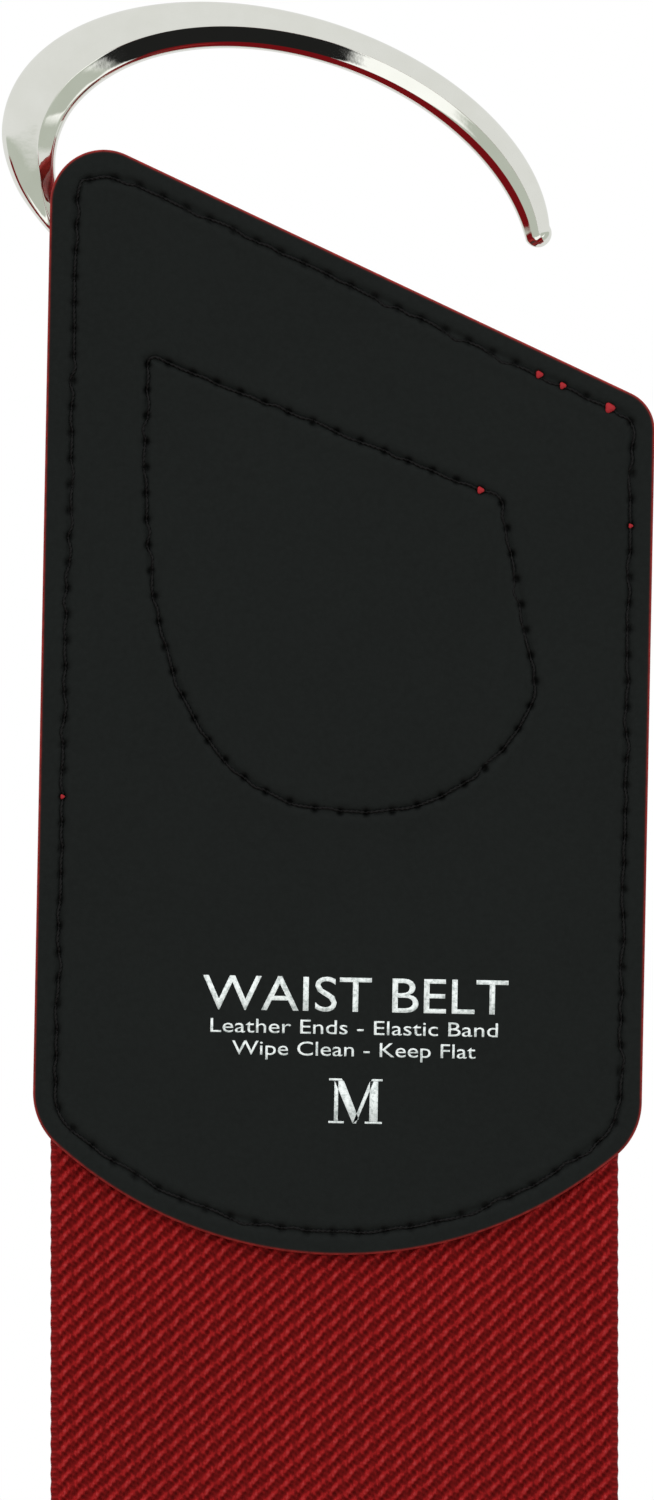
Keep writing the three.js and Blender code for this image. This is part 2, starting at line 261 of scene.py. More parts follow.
def rounded(a, corner, b, radius, steps):
    """An arc of the radius tangent to the lines corner-a and corner-b."""
    corner = np.asarray(corner, float)
    to_a = (a - corner) / np.linalg.norm(a - corner)
    to_b = (b - corner) / np.linalg.norm(b - corner)
    half = math.acos(float(to_a @ to_b)) / 2
    middle = (to_a + to_b) / np.linalg.norm(to_a + to_b)
    centre = corner + middle * radius / math.sin(half)
    start = corner + to_a * radius / math.tan(half) - centre
    end = corner + to_b * radius / math.tan(half) - centre
    first = math.atan2(start[1], start[0])
    turn = math.remainder(math.atan2(end[1], end[0]) - first, 2 * math.pi)
    return arc(centre, radius, math.degrees(first), math.degrees(first + turn), steps)


def end_outline(inset, corners):
    """The leather end's outline moved inwards, clockwise from its high corner."""
    side = HALF_END - inset
    slope = math.tan(SLANT)
    drop = inset / math.cos(SLANT)
    high = np.array((-side, TOP_HEIGHT + side * slope - drop))
    low = np.array((side, TOP_HEIGHT - side * slope - drop))
    radius = BOTTOM_RADIUS - inset
    fillet = corners["bottom"]
    fillet_x = side - fillet
    fillet_z = BOTTOM_RADIUS - math.sqrt((radius - fillet) ** 2 - fillet_x**2)
    meet = math.degrees(math.atan2(BOTTOM_RADIUS - fillet_z, fillet_x))
    return np.concatenate((
        rounded(np.array((-side, 0.0)), high, low, corners["high"], 40),
        rounded(high, low, np.array((side, 0.0)), corners["low"], 30),
        arc((fillet_x, fillet_z), fillet, 0, -meet, 30),
        arc((0, BOTTOM_RADIUS), radius, -meet, meet - 180, 80)[1:-1],
        arc((-fillet_x, fillet_z), fillet, meet - 180, -180, 30),
    ))


def edge_seam():
    """The edge seam's line. Its last stitches cut across the high corner."""
    return np.concatenate((SEAM_TURN, end_outline(SEAM_INSET, SEAM_CORNERS)[41:]))


def shield_outline(raised):
    """The tongue's seam line, clockwise from its high corner, its top edge raised along the sides.

    The right belly is a circle's arc, and the left a superellipse's quarter: half width times
    the sine, and height times the cosine, each to the power 2 / SHIELD_LEFT_POWER.
    """
    lean = (SHIELD_SIDE[0] - SHIELD_LOW[0]) / (SHIELD_LOW[1] - SHIELD_SIDE[1])
    high = SHIELD_HIGH + (0, raised)
    low = SHIELD_LOW + (-raised * lean, raised)
    x, z = SHIELD_BELLY
    right = arc((x, z + SHIELD_RIGHT_RADIUS), SHIELD_RIGHT_RADIUS, -20, -90, 40)
    t = np.linspace(0, math.pi / 2, 60)[1:-1]
    power = 2 / SHIELD_LEFT_POWER
    left = np.stack((
        x - (x - high[0]) * np.sin(t) ** power,
        SHIELD_LEFT_TOP - (SHIELD_LEFT_TOP - z) * np.cos(t) ** power,
    ), -1)
    left_top = np.array((high[0], SHIELD_LEFT_TOP))
    return np.concatenate((
        rounded(left_top, high, low, SHIELD_CORNERS["high"], 12),
        rounded(high, low, SHIELD_SIDE, SHIELD_CORNERS["low"], 16),
        rounded(low, SHIELD_SIDE, right[0], SHIELD_CORNERS["side"], 12),
        right,
        left,
        left_top[None],
    ))


def resampled(path, count):
    """A closed line's points at equal steps along it, and its length."""
    loop = np.vstack((path, path[:1]))
    reach = np.concatenate(([0.0], np.cumsum(np.linalg.norm(np.diff(loop, axis=0), axis=1))))
    at = np.linspace(0, reach[-1], count, endpoint=False)
    points = np.stack((np.interp(at, reach, loop[:, 0]), np.interp(at, reach, loop[:, 1])), -1)
    return points, float(reach[-1])


def left_normals(path):
    """Unit normals to the left of a closed line, from the chord between each point's neighbours."""
    chord = np.roll(path, -1, 0) - np.roll(path, 1, 0)
    chord /= np.linalg.norm(chord, axis=1)[:, None]
    return np.stack((-chord[:, 1], chord[:, 0]), -1)


def grown(path, distance, count=900):
    """A clockwise closed line moved outwards by a distance."""
    points, _ = resampled(path, count)
    return points + left_normals(points) * distance


def nearest_on(path, points):
    """Each point's distance from a closed line, how far along it the nearest point is, and the
    line's length.

    The nearest of the line's corners is found first, then the foot on the two segments there.
    """
    line, length = resampled(path, 720)
    after = np.roll(line, -1, 0)
    step = length / len(line)
    best = np.empty(len(points), int)
    for first in range(0, len(points), 20000):
        some = points[first : first + 20000]
        gap = (some[:, None, 0] - line[None, :, 0]) ** 2
        gap += (some[:, None, 1] - line[None, :, 1]) ** 2
        best[first : first + 20000] = gap.argmin(1)
    results = []
    for index in (best, (best - 1) % len(line)):
        a, b = line[index], after[index]
        ab = b - a
        share = np.clip(((points - a) * ab).sum(1) / (ab * ab).sum(1), 0, 1)
        foot = a + ab * share[:, None]
        results.append((np.linalg.norm(points - foot, axis=1), (index + share) * step))
    (d0, s0), (d1, s1) = results
    nearer = d0 <= d1
    return np.where(nearer, d0, d1), np.where(nearer, s0, s1), length


def whole_stitches(length):
    """The nearest whole number of stitches round a seam."""
    return max(3, round(length / settings().stitch))


# Meshes.


def place(points, end):
    """Leans X and Z about Y, lifts them onto the end, turns the lower end half round, in metres."""
    x, y, z = points[:, 0], points[:, 1], points[:, 2]
    turn = 1 if end == "upper" else -1
    return np.stack((
        turn * (x * math.cos(END_LEAN) + z * math.sin(END_LEAN)),
        y - DEPTH_CENTRE,
        turn * (-x * math.sin(END_LEAN) + z * math.cos(END_LEAN) + END_LIFT),
    ), -1) / 1000


def mesh_object(name, verts, faces, material, attributes=None):
    """A smooth-shaded mesh object at the origin. Faces are a list of integer arrays."""
    mesh = bpy.data.meshes.new(name)
    corners = np.concatenate([f.ravel() for f in faces]).astype(np.int32)
    sizes = np.concatenate([np.full(len(f), f.shape[1]) for f in faces]).astype(np.int32)
    mesh.vertices.add(len(verts))
    mesh.vertices.foreach_set("co", np.ascontiguousarray(verts, np.float32).ravel())
    mesh.loops.add(len(corners))
    mesh.loops.foreach_set("vertex_index", corners)
    mesh.polygons.add(len(sizes))
    starts = np.concatenate(([0], np.cumsum(sizes)[:-1])).astype(np.int32)
    mesh.polygons.foreach_set("loop_start", starts)
    for key, values in (attributes or {}).items():
        layer = mesh.attributes.new(key, "FLOAT", "POINT")
        layer.data.foreach_set("value", np.ascontiguousarray(values, np.float32))
    mesh.update(calc_edges=True)
    mesh.validate()
    mesh.polygons.foreach_set("use_smooth", np.ones(len(mesh.polygons), bool))
    mesh.materials.append(material)
    made = bpy.data.objects.new(name, mesh)
    bpy.context.scene.collection.objects.link(made)
    return made


def loops_to_faces(rows, size, closed):
    """Quads between each loop of points and the next, and back to the first if closed."""
    i = np.arange(rows if closed else rows - 1)[:, None]
    j = np.arange(size)[None]
    a = i * size + j
    b = i * size + (j + 1) % size
    c = ((i + 1) % rows) * size + (j + 1) % size
    d = ((i + 1) % rows) * size + j
    return np.stack((a, b, c, d), -1).reshape(-1, 4)


def fan(tip, loop):
    """Triangles from a tip to each step of a closed loop of points."""
    return np.stack((np.full(len(loop), tip), loop, np.roll(loop, -1)), -1)


def capped(loops, tips=None):
    """Points and faces of a skin over open rows of loops, with a fan at each end. The fans meet
    at the tips, which are the end loops' middles if none are given."""
    rows, size = loops.shape[:2]
    tips = (loops[0].mean(0), loops[-1].mean(0)) if tips is None else tips
    j = np.arange(size)
    return np.vstack((loops.reshape(-1, 3), *tips)), [
        loops_to_faces(rows, size, False),
        fan(rows * size, j[::-1]),
        fan(rows * size + 1, (rows - 1) * size + j),
    ]


def at_depth(flat, depth):
    """X and Z as X, Y and Z, at one depth or at each point's own."""
    return np.column_stack((flat[:, 0], np.broadcast_to(depth, len(flat)), flat[:, 1]))


def to_needle_hole(along, length):
    """How far along a seam each point is from the nearest stitch's end."""
    stitch = length / whole_stitches(length)
    return np.abs(along / stitch - np.round(along / stitch)) * stitch


def seam_relief(distance, along, length, depth):
    """How far leather sinks at a seam, in mm.

    A channel falls as a bell curve of the distance from the thread, its lips stand up a little
    at 1.3 mm, and a needle hole, two bell curves multiplied, sinks further at each stitch's end.
    """
    channel = np.exp(-((distance / 0.45) ** 2))
    lips = 0.14 * np.exp(-(((distance - 1.3) / 0.6) ** 2))
    hole = 1.5 * np.exp(-((distance / 0.42) ** 2) - (to_needle_hole(along, length) / 0.4) ** 2)
    return depth * (channel + hole - lips)


def seam_hole_shade(distance, along, length):
    """Where painted shade darkens the leather in the needle holes: a product of two bell curves at
    each stitch's end.
    """
    return np.exp(-(distance**2 + to_needle_hole(along, length) ** 2) / 0.5**2)


# Materials.


def leather_material(name, colour, edge_colour, roughness, specular, grain, grain_depth):
    """Drum-dyed, pigment-finished leather, with its grain's width and depth in millimetres.

    It gives the eye a fine pebble of hair-cell grain, slow changes of tone, a soft sheen, painted
    edges, and painted shade in the needle holes, which the edge and needle-hole attributes mark.
    """
    material, tree = new_material(name)
    at = add(tree, "ShaderNodeTexCoord").outputs["Object"]
    cells = add(tree, "ShaderNodeTexVoronoi", {"Vector": at, "Scale": 1000 / grain},
                feature="SMOOTH_F1")
    fine = add(tree, "ShaderNodeTexNoise",
               {"Vector": at, "Scale": 1000 / (grain * 0.45), "Detail": 3.0})
    slow = add(tree, "ShaderNodeTexNoise", {"Vector": at, "Scale": 60.0, "Detail": 4.0})
    worn = add(tree, "ShaderNodeTexNoise", {"Vector": at, "Scale": 900.0, "Detail": 3.0})
    tone = add(tree, "ShaderNodeValToRGB", {"Fac": slow},
               stops=[(0.3, shaded(colour, 0.93)), (0.72, shaded(colour, 1.07))])
    paint = add(tree, "ShaderNodeValToRGB", {"Fac": worn},
                stops=[(0.3, shaded(edge_colour, 0.55)), (0.7, edge_colour)])
    pores = add(tree, "ShaderNodeMapRange",
                {"Value": cells, "From Min": 0.0, "From Max": 0.75, "To Min": 1.08, "To Max": 0.86})
    grained = add(tree, "ShaderNodeMix", {0: 1.0, 6: tone, 7: pores},
                  data_type="RGBA", blend_type="MULTIPLY")
    edge = add(tree, "ShaderNodeAttribute", attribute_name="edge")
    edged = add(tree, "ShaderNodeMix",
                {0: edge.outputs["Fac"], 6: grained.outputs[2], 7: paint}, data_type="RGBA")
    # Painted shade: the needle-hole attribute darkens the colour to near black in the needle holes.
    pit = add(tree, "ShaderNodeAttribute", attribute_name="pit")
    hole_shaded = add(tree, "ShaderNodeMix",
                {0: pit.outputs["Fac"], 6: edged.outputs[2], 7: shaded(colour, 0.06)},
                data_type="RGBA")
    gloss = add(tree, "ShaderNodeMapRange",
                {"Value": slow, "From Min": 0.25, "From Max": 0.75,
                 "To Min": roughness - 0.05, "To Max": roughness + 0.06})
    height = add(tree, "ShaderNodeMath", {0: cells, 1: fine}, operation="ADD")
    bump = add(tree, "ShaderNodeBump",
               {"Height": height, "Strength": 1.0, "Distance": grain_depth / 1000})
    shader = add(tree, "ShaderNodeBsdfPrincipled", {
        "Base Color": hole_shaded.outputs[2], "Roughness": gloss, "Normal": bump, "IOR": 1.5,
        "Specular IOR Level": specular,
    })
    add(tree, "ShaderNodeOutputMaterial", {"Surface": shader})
    return material


def chrome_material():
    """Bright chrome over polished nickel on a zinc casting: a clean, faintly warm mirror with the
    hair-fine drag of a buffing wheel."""
    material, tree = new_material("Chrome plate, polished")
    at = add(tree, "ShaderNodeTexCoord").outputs["Object"]
    drag = add(tree, "ShaderNodeTexNoise", {"Vector": at, "Scale": 260.0, "Detail": 5.0})
    rough = add(tree, "ShaderNodeMapRange",
                {"Value": drag, "From Min": 0.3, "From Max": 0.75, "To Min": 0.02, "To Max": 0.06})
    tint = add(tree, "ShaderNodeValToRGB", {"Fac": drag},
               stops=[(0.3, hex_colour("#E5E6DE")), (0.7, hex_colour("#EAEBE4"))])
    bump = add(tree, "ShaderNodeBump", {"Height": drag, "Strength": 0.35, "Distance": 0.00004})
    shader = add(tree, "ShaderNodeBsdfPrincipled", {
        "Base Color": tint, "Metallic": 1.0, "Roughness": rough, "Normal": bump,
    })
    add(tree, "ShaderNodeOutputMaterial", {"Surface": shader})
    return material


def thread_material(name, colour):
    """Bonded nylon sewing thread, two plies twisted: a low sheen, and slanting strands painted darker
    between them and lighter on their tops, as shade and highlight.
    """
    material, tree = new_material(name)
    ply = add(tree, "ShaderNodeAttribute", attribute_name="ply").outputs["Fac"]
    turns = add(tree, "ShaderNodeMath", {0: ply, 1: math.tau}, operation="MULTIPLY")
    strand = add(tree, "ShaderNodeMath", {0: turns}, operation="SINE")
    share = add(tree, "ShaderNodeMapRange", {"Value": strand, "From Min": -1.0, "From Max": 1.0})
    # Painted shade and highlight: the colour follows the strands' bump, darker in the low parts
    # between strands and lighter on their tops.
    tone = add(tree, "ShaderNodeValToRGB", {"Fac": share},
               stops=[(0.0, shaded(colour, 0.45)), (1.0, shaded(colour, 1.3))])
    bump = add(tree, "ShaderNodeBump", {"Height": strand, "Strength": 0.6, "Distance": 0.00006})
    shader = add(tree, "ShaderNodeBsdfPrincipled", {
        "Base Color": tone, "Roughness": 0.5, "Normal": bump, "Specular IOR Level": 0.2,
    })
    add(tree, "ShaderNodeOutputMaterial", {"Surface": shader})
    return material


def elastic_material():
    """Twill-woven polyester over rubber cords: slanting ribs of small plump knots, with grooves
    between them painted dark as shade, knot tops painted light as highlight, and a dry, slightly fuzzy
    surface.

    The weave repeats up the band with the ribs' pitch and across it with the warp columns'. Its
    height is a sum of cosines, each of whole numbers of rib and column turns: the ribs, the
    columns, then the knots, three and four to a column.
    """
    s = settings()
    material, tree = new_material("Elastic webbing, twill woven")
    flat = add(tree, "ShaderNodeUVMap", uv_map="weave")
    streaks = add(tree, "ShaderNodeMapping",
                  {"Vector": flat, "Rotation": (0, 0, 0.5), "Scale": (1.0, 0.45, 1.0)})
    # Speckles from -0.5 to 0.5, each with its size in millimetres: two unsettle the ribs and the
    # columns, one is the filaments' fine streaks along the knots, and one washes the colour.
    speckles = []
    for vector, size, detail in ((flat, 2.6, 2.0), (flat, 3.1, 2.0), (streaks, 0.3, 3.0),
                                 (flat, 14, 2.0)):
        noise = add(tree, "ShaderNodeTexNoise",
                    {"Vector": vector, "Scale": WEAVE_MAP / size, "Detail": detail},
                    noise_dimensions="2D")
        speckles.append(add(tree, "ShaderNodeMath", {0: noise, 1: 0.5}, operation="SUBTRACT"))
    rib_speckle, column_speckle, filaments, patches = speckles
    split = add(tree, "ShaderNodeSeparateXYZ", {"Vector": flat}).outputs
    x = add(tree, "ShaderNodeMath", {0: split["X"], 1: WEAVE_MAP}, operation="MULTIPLY")
    z = add(tree, "ShaderNodeMath", {0: split["Y"], 1: WEAVE_MAP}, operation="MULTIPLY")
    rib = add(tree, "ShaderNodeMath", {0: z, 1: 1 / s.rib_pitch}, operation="MULTIPLY")
    rib = add(tree, "ShaderNodeMath", {0: x, 1: -math.tan(s.rib_angle) / s.rib_pitch, 2: rib},
              operation="MULTIPLY_ADD")
    rib = add(tree, "ShaderNodeMath", {0: rib_speckle, 1: 0.22, 2: rib}, operation="MULTIPLY_ADD")
    column = add(tree, "ShaderNodeMath", {0: x, 1: 1 / s.column_pitch}, operation="MULTIPLY")
    column = add(tree, "ShaderNodeMath", {0: column_speckle, 1: 0.12, 2: column},
                 operation="MULTIPLY_ADD")
    # Each cosine's rib turns, column turns, height and start.
    height = 0.0
    for rib_turns, column_turns, share, start in (
        (1, 0, 1.0, 0.5), (-1, 1, 0.37, 0.5), (0, 1, 0.26, 0.02), (1, 3, 0.2, 0.45),
        (2, 4, 0.22, 0.47), (3, 4, 0.26, 0.4), (-2, 1, 0.17, 0.6),
    ):
        turns = add(tree, "ShaderNodeMath", {0: rib, 1: rib_turns, 2: start},
                    operation="MULTIPLY_ADD")
        turns = add(tree, "ShaderNodeMath", {0: column, 1: column_turns, 2: turns},
                    operation="MULTIPLY_ADD")
        angle = add(tree, "ShaderNodeMath", {0: turns, 1: math.tau}, operation="MULTIPLY")
        wave = add(tree, "ShaderNodeMath", {0: angle}, operation="COSINE")
        height = add(tree, "ShaderNodeMath", {0: wave, 1: share, 2: height},
                     operation="MULTIPLY_ADD")
    height = add(tree, "ShaderNodeMath", {0: filaments, 1: 2.4, 2: height},
                 operation="MULTIPLY_ADD")
    # The selvedge is a narrow column of short level ticks.
    angle = add(tree, "ShaderNodeMath", {0: z, 1: math.tau / 0.62}, operation="MULTIPLY")
    wave = add(tree, "ShaderNodeMath", {0: angle}, operation="COSINE")
    ticks = add(tree, "ShaderNodeMath", {0: wave, 1: 0.7}, operation="MULTIPLY")
    rise = add(tree, "ShaderNodeMath", {0: ticks, 1: height}, operation="SUBTRACT")
    aside = add(tree, "ShaderNodeMath", {0: x}, operation="ABSOLUTE")
    selvedge = add(tree, "ShaderNodeMapRange",
                   {"Value": aside, "From Min": 33.9, "From Max": 34.4, "To Max": 0.8})
    height = add(tree, "ShaderNodeMath", {0: selvedge, 1: rise, 2: height},
                 operation="MULTIPLY_ADD")
    level = add(tree, "ShaderNodeMath", {0: height, 1: 0.235, 2: 0.49}, operation="MULTIPLY_ADD")
    # The colour follows the weave's height: the groove stop is painted shade between the ribs, and the
    # top stop, lighter than the crest, is a painted highlight on the knots' tops.
    crest, groove = tuple(s.band_colour), tuple(s.groove_shade_colour)
    middle = tuple(0.4 * a + 0.6 * b for a, b in zip(crest, groove))
    tone = add(tree, "ShaderNodeValToRGB", {"Fac": level},
               stops=[(0.1, groove), (0.5, middle), (0.72, crest),
                      (0.95, tuple(min(1.0, c * 1.2 + 0.02) for c in crest))])
    wash = add(tree, "ShaderNodeMapRange",
               {"Value": patches, "From Min": -0.5, "From Max": 0.5, "To Min": 0.9, "To Max": 1.1})
    washed = add(tree, "ShaderNodeMix", {0: 1.0, 6: tone, 7: wash},
                 data_type="RGBA", blend_type="MULTIPLY")
    bump = add(tree, "ShaderNodeBump", {"Height": level, "Strength": 0.7, "Distance": 0.00045})
    shader = add(tree, "ShaderNodeBsdfPrincipled", {
        "Base Color": washed.outputs[2], "Roughness": 0.7, "Normal": bump,
        "Specular IOR Level": 0.1,
    })
    add(tree, "ShaderNodeOutputMaterial", {"Surface": shader})
    return material


def foil_material():
    """Hot-stamped white pigment foil: flat, slightly broken where the leather's grain holds off."""
    material, tree = new_material("Pigment foil, hot stamped")
    at = add(tree, "ShaderNodeTexCoord").outputs["Object"]
    broken = add(tree, "ShaderNodeTexNoise", {"Vector": at, "Scale": 2600.0, "Detail": 3.0})
    tone = add(tree, "ShaderNodeValToRGB", {"Fac": broken},
               stops=[(0.3, hex_colour("#B9C2C0")), (0.55, hex_colour("#F4FAF9"))])
    shader = add(tree, "ShaderNodeBsdfPrincipled",
                 {"Base Color": tone, "Roughness": 0.5, "Specular IOR Level": 0.3})
    add(tree, "ShaderNodeOutputMaterial", {"Surface": shader})
    return material


def board_material():
    """Bonded leather fibre board with a painted edge: short fibres under a dark red paint."""
    material, tree = new_material("Bonded leather board, edge painted")
    at = add(tree, "ShaderNodeTexCoord").outputs["Object"]
    fibres = add(tree, "ShaderNodeTexNoise",
                 {"Vector": at, "Scale": 1400.0, "Detail": 5.0, "Roughness": 0.65})
    tone = add(tree, "ShaderNodeValToRGB", {"Fac": fibres},
               stops=[(0.3, hex_colour("#2A0F0E")), (0.7, hex_colour("#5A1F1E"))])
    bump = add(tree, "ShaderNodeBump", {"Height": fibres, "Strength": 0.8, "Distance": 0.00012})
    shader = add(tree, "ShaderNodeBsdfPrincipled",
                 {"Base Color": tone, "Roughness": 0.7, "Normal": bump})
    add(tree, "ShaderNodeOutputMaterial", {"Surface": shader})
    return material


@cache
def material(kind):
    """Each finish, made once."""
    s = settings()
    if kind == "lining":
        return leather_material("Calf lining leather, drum dyed black", tuple(s.lining_colour),
                                hex_colour("#9A2B27"), 0.55, 0.1, 0.55, 0.02)
    if kind == "front":
        return leather_material("Cowhide, pigment finished red", tuple(s.front_colour),
                                hex_colour("#7E201F"), 0.42, 0.2, 0.9, 0.05)
    if kind.endswith("thread"):
        colour = {"black thread": "#0B0B0B", "red thread": "#A8262C"}[kind]
        return thread_material(f"Bonded nylon thread, {kind.split()[0]}", hex_colour(colour))
    return {"chrome": chrome_material, "elastic": elastic_material, "foil": foil_material,
            "board": board_material}[kind]()


# Elastic band.


def band_piece():
    """The band as a slab whose two faces carry the twill.

    Across the band go the points of a rounded section; up it go rows that climb with the ribs,
    four to a rib, so z is row times pitch / 4 plus x times the tangent of the rib angle. Each
    face sinks by depth times (1 + cos(2 pi row / 4)) / 2. The ends are then cut square.
    """
    s = settings()
    half_width = (BAND_HIGH[0] - BAND_LOW[0]) / 2
    half_thick = CORE / 2
    edge, face_points, rib_rows = 0.8, 39, 4
    face_x = (half_width - edge) * np.linspace(-1, 1, face_points)
    face_y = np.full(face_points, half_thick)
    turn = np.radians((-60, -30, 0, 30, 60))
    side_x = half_width - edge + edge * np.cos(turn)
    side_y = half_thick * np.sin(turn)
    x = np.concatenate((face_x, side_x, face_x[::-1], -side_x))
    y = np.concatenate((-face_y, side_y, face_y, -side_y))
    slope = math.tan(s.rib_angle)
    last = math.ceil((BAND_HIGH[2] + half_width * slope + 3) / s.rib_pitch * rib_rows)
    rows = np.arange(-last, last + 1)[:, None]
    sink = s.rib_depth * (1 + np.cos(math.tau * rows / rib_rows)) / 2
    edge_pull = np.where(np.abs(x) > half_width - edge, 0.35 * sink, 0.0)
    verts, faces = capped(np.stack((
        x - np.sign(x) * edge_pull,
        y * (1 - sink / half_thick) - DEPTH_CENTRE,
        rows * s.rib_pitch / rib_rows + x * slope,
    ), -1))
    made = mesh_object("elastic_band_woven", verts / 1000, faces, material("elastic"))
    mesh = made.data
    cutter = bmesh.new()
    cutter.from_mesh(mesh)
    for level, normal in ((BAND_HIGH[2], 1), (BAND_LOW[2], -1)):
        parts = cutter.verts[:] + cutter.edges[:] + cutter.faces[:]
        cut = bmesh.ops.bisect_plane(cutter, geom=parts, plane_co=(0, 0, level / 1000),
                                     plane_no=(0, 0, normal), clear_outer=True, dist=1e-7)
        rim = [e for e in cut["geom_cut"] if isinstance(e, bmesh.types.BMEdge)]
        bmesh.ops.holes_fill(cutter, edges=rim, sides=0)
    bmesh.ops.recalc_face_normals(cutter, faces=cutter.faces)
    bmesh.ops.triangulate(cutter, faces=[f for f in cutter.faces if len(f.verts) > 4])
    cutter.to_mesh(mesh)
    cutter.free()
    mesh.polygons.foreach_set("use_smooth", np.ones(len(mesh.polygons), bool))
    # The weave's map is X and Z in millimetres over WEAVE_MAP, on both faces.
    co = np.empty(len(mesh.vertices) * 3, np.float32)
    mesh.vertices.foreach_get("co", co)
    corner = np.empty(len(mesh.loops), np.int32)
    mesh.loops.foreach_get("vertex_index", corner)
    flat = co.reshape(-1, 3)[corner][:, (0, 2)] * (1000 / WEAVE_MAP)
    layer = mesh.uv_layers.new(name="weave")
    layer.data.foreach_set("uv", np.ascontiguousarray(flat, np.float32).ravel())
    return made


# Leather plates.


def leather_plate(outer, inner, seams):
    """One end's leather from its outer to its inner depth, as points, faces and two attributes: the
    painted edge, and painted shade in the needle holes.

    Columns run from points spaced evenly round the outline to one centre. Rings step inwards
    along them: over a rounded edge, past the edge seam, to the shield, and on to the centre.
    Depth is the face's own, less the rounding r - sqrt(r^2 - (r - d)^2) at d from the edge, less
    what each seam sinks, plus a slight crown.
    """
    columns = settings().columns
    edge_radius, crown, far, groove = 0.35, 0.05, 9.0, 0.3
    rim, _ = resampled(end_outline(0, CORNERS), columns)
    reach = np.linalg.norm(SHIELD_CENTRE - rim, axis=1)
    ray = (SHIELD_CENTRE - rim) / reach[:, None]
    square = np.abs((ray * left_normals(rim)).sum(1))
    # The shield's distance from the centre, at each column's heading.
    spoke = resampled(shield_outline(0), 2400)[0] - SHIELD_CENTRE
    heading = np.arctan2(spoke[:, 1], spoke[:, 0])
    order = np.argsort(heading)
    shield_reach = np.interp(np.arctan2(-ray[:, 1], -ray[:, 0]), heading[order],
                             np.linalg.norm(spoke, axis=1)[order], period=math.tau)
    near_edge = np.concatenate(([0.0, 0.03, 0.1, 0.2, 0.32], np.arange(0.45, 6.1, 0.3)))
    near_shield = np.array((2.6, 1.9, 1.4, 1.0, 0.7, 0.45, 0.2, 0,
                            -0.2, -0.45, -0.7, -1.0, -1.5, -2.2))
    if len(seams) == 1:
        near_shield = near_shield[::5]
    rings = [reach - d / square for d in near_edge]
    start, stop = rings[-1], shield_reach + near_shield[0]
    rings += [start + (stop - start) * share for share in np.linspace(0, 1, 26)[1:-1]]
    rings += [shield_reach + d for d in near_shield]
    rings += [rings[-1] * (1 - share) for share in np.linspace(0, 1, 11)[1:-1]]
    flat = SHIELD_CENTRE - ray * np.array(rings)[..., None]
    points = np.vstack((flat.reshape(-1, 2), SHIELD_CENTRE))
    inset = np.full(len(points), far)
    inset[: len(near_edge) * columns] = np.repeat(near_edge, columns)
    fall = np.clip(edge_radius - inset, 0, None)
    sunk = edge_radius - np.sqrt(edge_radius**2 - fall**2) - crown * np.clip(inset / far, 0, 1)
    hole_shade = np.zeros(len(points))
    for seam in seams:
        distance, along, length = nearest_on(seam, points)
        sunk += seam_relief(distance, along, length, groove)
        # Painted shade in the needle holes, darkest at each stitch's end.
        hole_shade = np.maximum(hole_shade, seam_hole_shade(distance, along, length))
    facing = np.sign(outer - inner)
    face = at_depth(points, outer - facing * sunk)
    # Rings over the hidden side and round the cut edge come before the face's own.
    hidden = [at_depth(rim + ray * (reach * 0.6)[:, None], inner),
              at_depth(rim + ray * (0.15 / square)[:, None], inner),
              at_depth(rim, inner + facing * 0.12), at_depth(rim, outer - facing * 0.85)]
    loops = np.concatenate((hidden, face[:-1].reshape(-1, columns, 3)))
    verts, faces = capped(loops, ((SHIELD_CENTRE[0], inner, SHIELD_CENTRE[1]), face[-1]))
    paint = np.clip(1.5 - inset / 0.22, 0, 1)
    values = {
        "edge": np.concatenate((np.repeat((0.0, 1.0, 1.0, 1.0), columns), paint[:-1], (0.0, 0.0))),
        "pit": np.concatenate((np.zeros(4 * columns), hole_shade[:-1], (0.0, hole_shade[-1]))),
    }
    return verts, faces, values


def outward(made):
    """Turns a closed mesh's faces out if its signed volume says that they point in."""
    work = bmesh.new()
    work.from_mesh(made.data)
    if work.calc_volume(signed=True) < 0:
        bmesh.ops.reverse_faces(work, faces=work.faces)
        work.to_mesh(made.data)
    work.free()


def show(made, node, body):
    """Gives a piece its place on the frame."""
    outward(made)
    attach(made, body)
    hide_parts(node)


# Tongue.


def strap_line():
    """The folded strap's middle line as rise and depth: up the inner leg, round the bar on a
    circle, back on a smaller reversed circle, and down the outer leg; and the strap's outline."""
    outer_leg = TONGUE_OUTER - LEATHER / 2
    back_turn = LEATHER * 1.25
    turn_depth = outer_leg + back_turn
    turn_rise = BAR_RISE - math.sqrt((FOLD_RADIUS + back_turn) ** 2 - (turn_depth - BAR_DEPTH) ** 2)
    meet = math.degrees(math.atan2(turn_depth - BAR_DEPTH, turn_rise - BAR_RISE))
    outline = to_slant(grown(shield_outline(TONGUE_RAISE), TONGUE_MARGIN))
    foot = outline[:, 1].min() + 0.004
    # Steps lie closer at both ends of a leg.
    even = np.linspace(0, 1, LEG_STEPS + 1)
    climb = 0.25 * even + 0.75 * (1 - np.cos(math.pi * even)) / 2
    up = foot + (BAR_RISE - foot) * climb
    down = foot + (turn_rise - foot) * (1 - climb[1:])
    return np.concatenate((
        np.column_stack((up, np.full(len(up), FRONT_OUTER + LEATHER / 2))),
        arc((BAR_RISE, BAR_DEPTH), FOLD_RADIUS, -90, meet, 56)[1:],
        arc((turn_rise, turn_depth), back_turn, meet - 180, -90, 14)[1:],
        np.column_stack((down, np.full(len(down), outer_leg))),
    )), outline


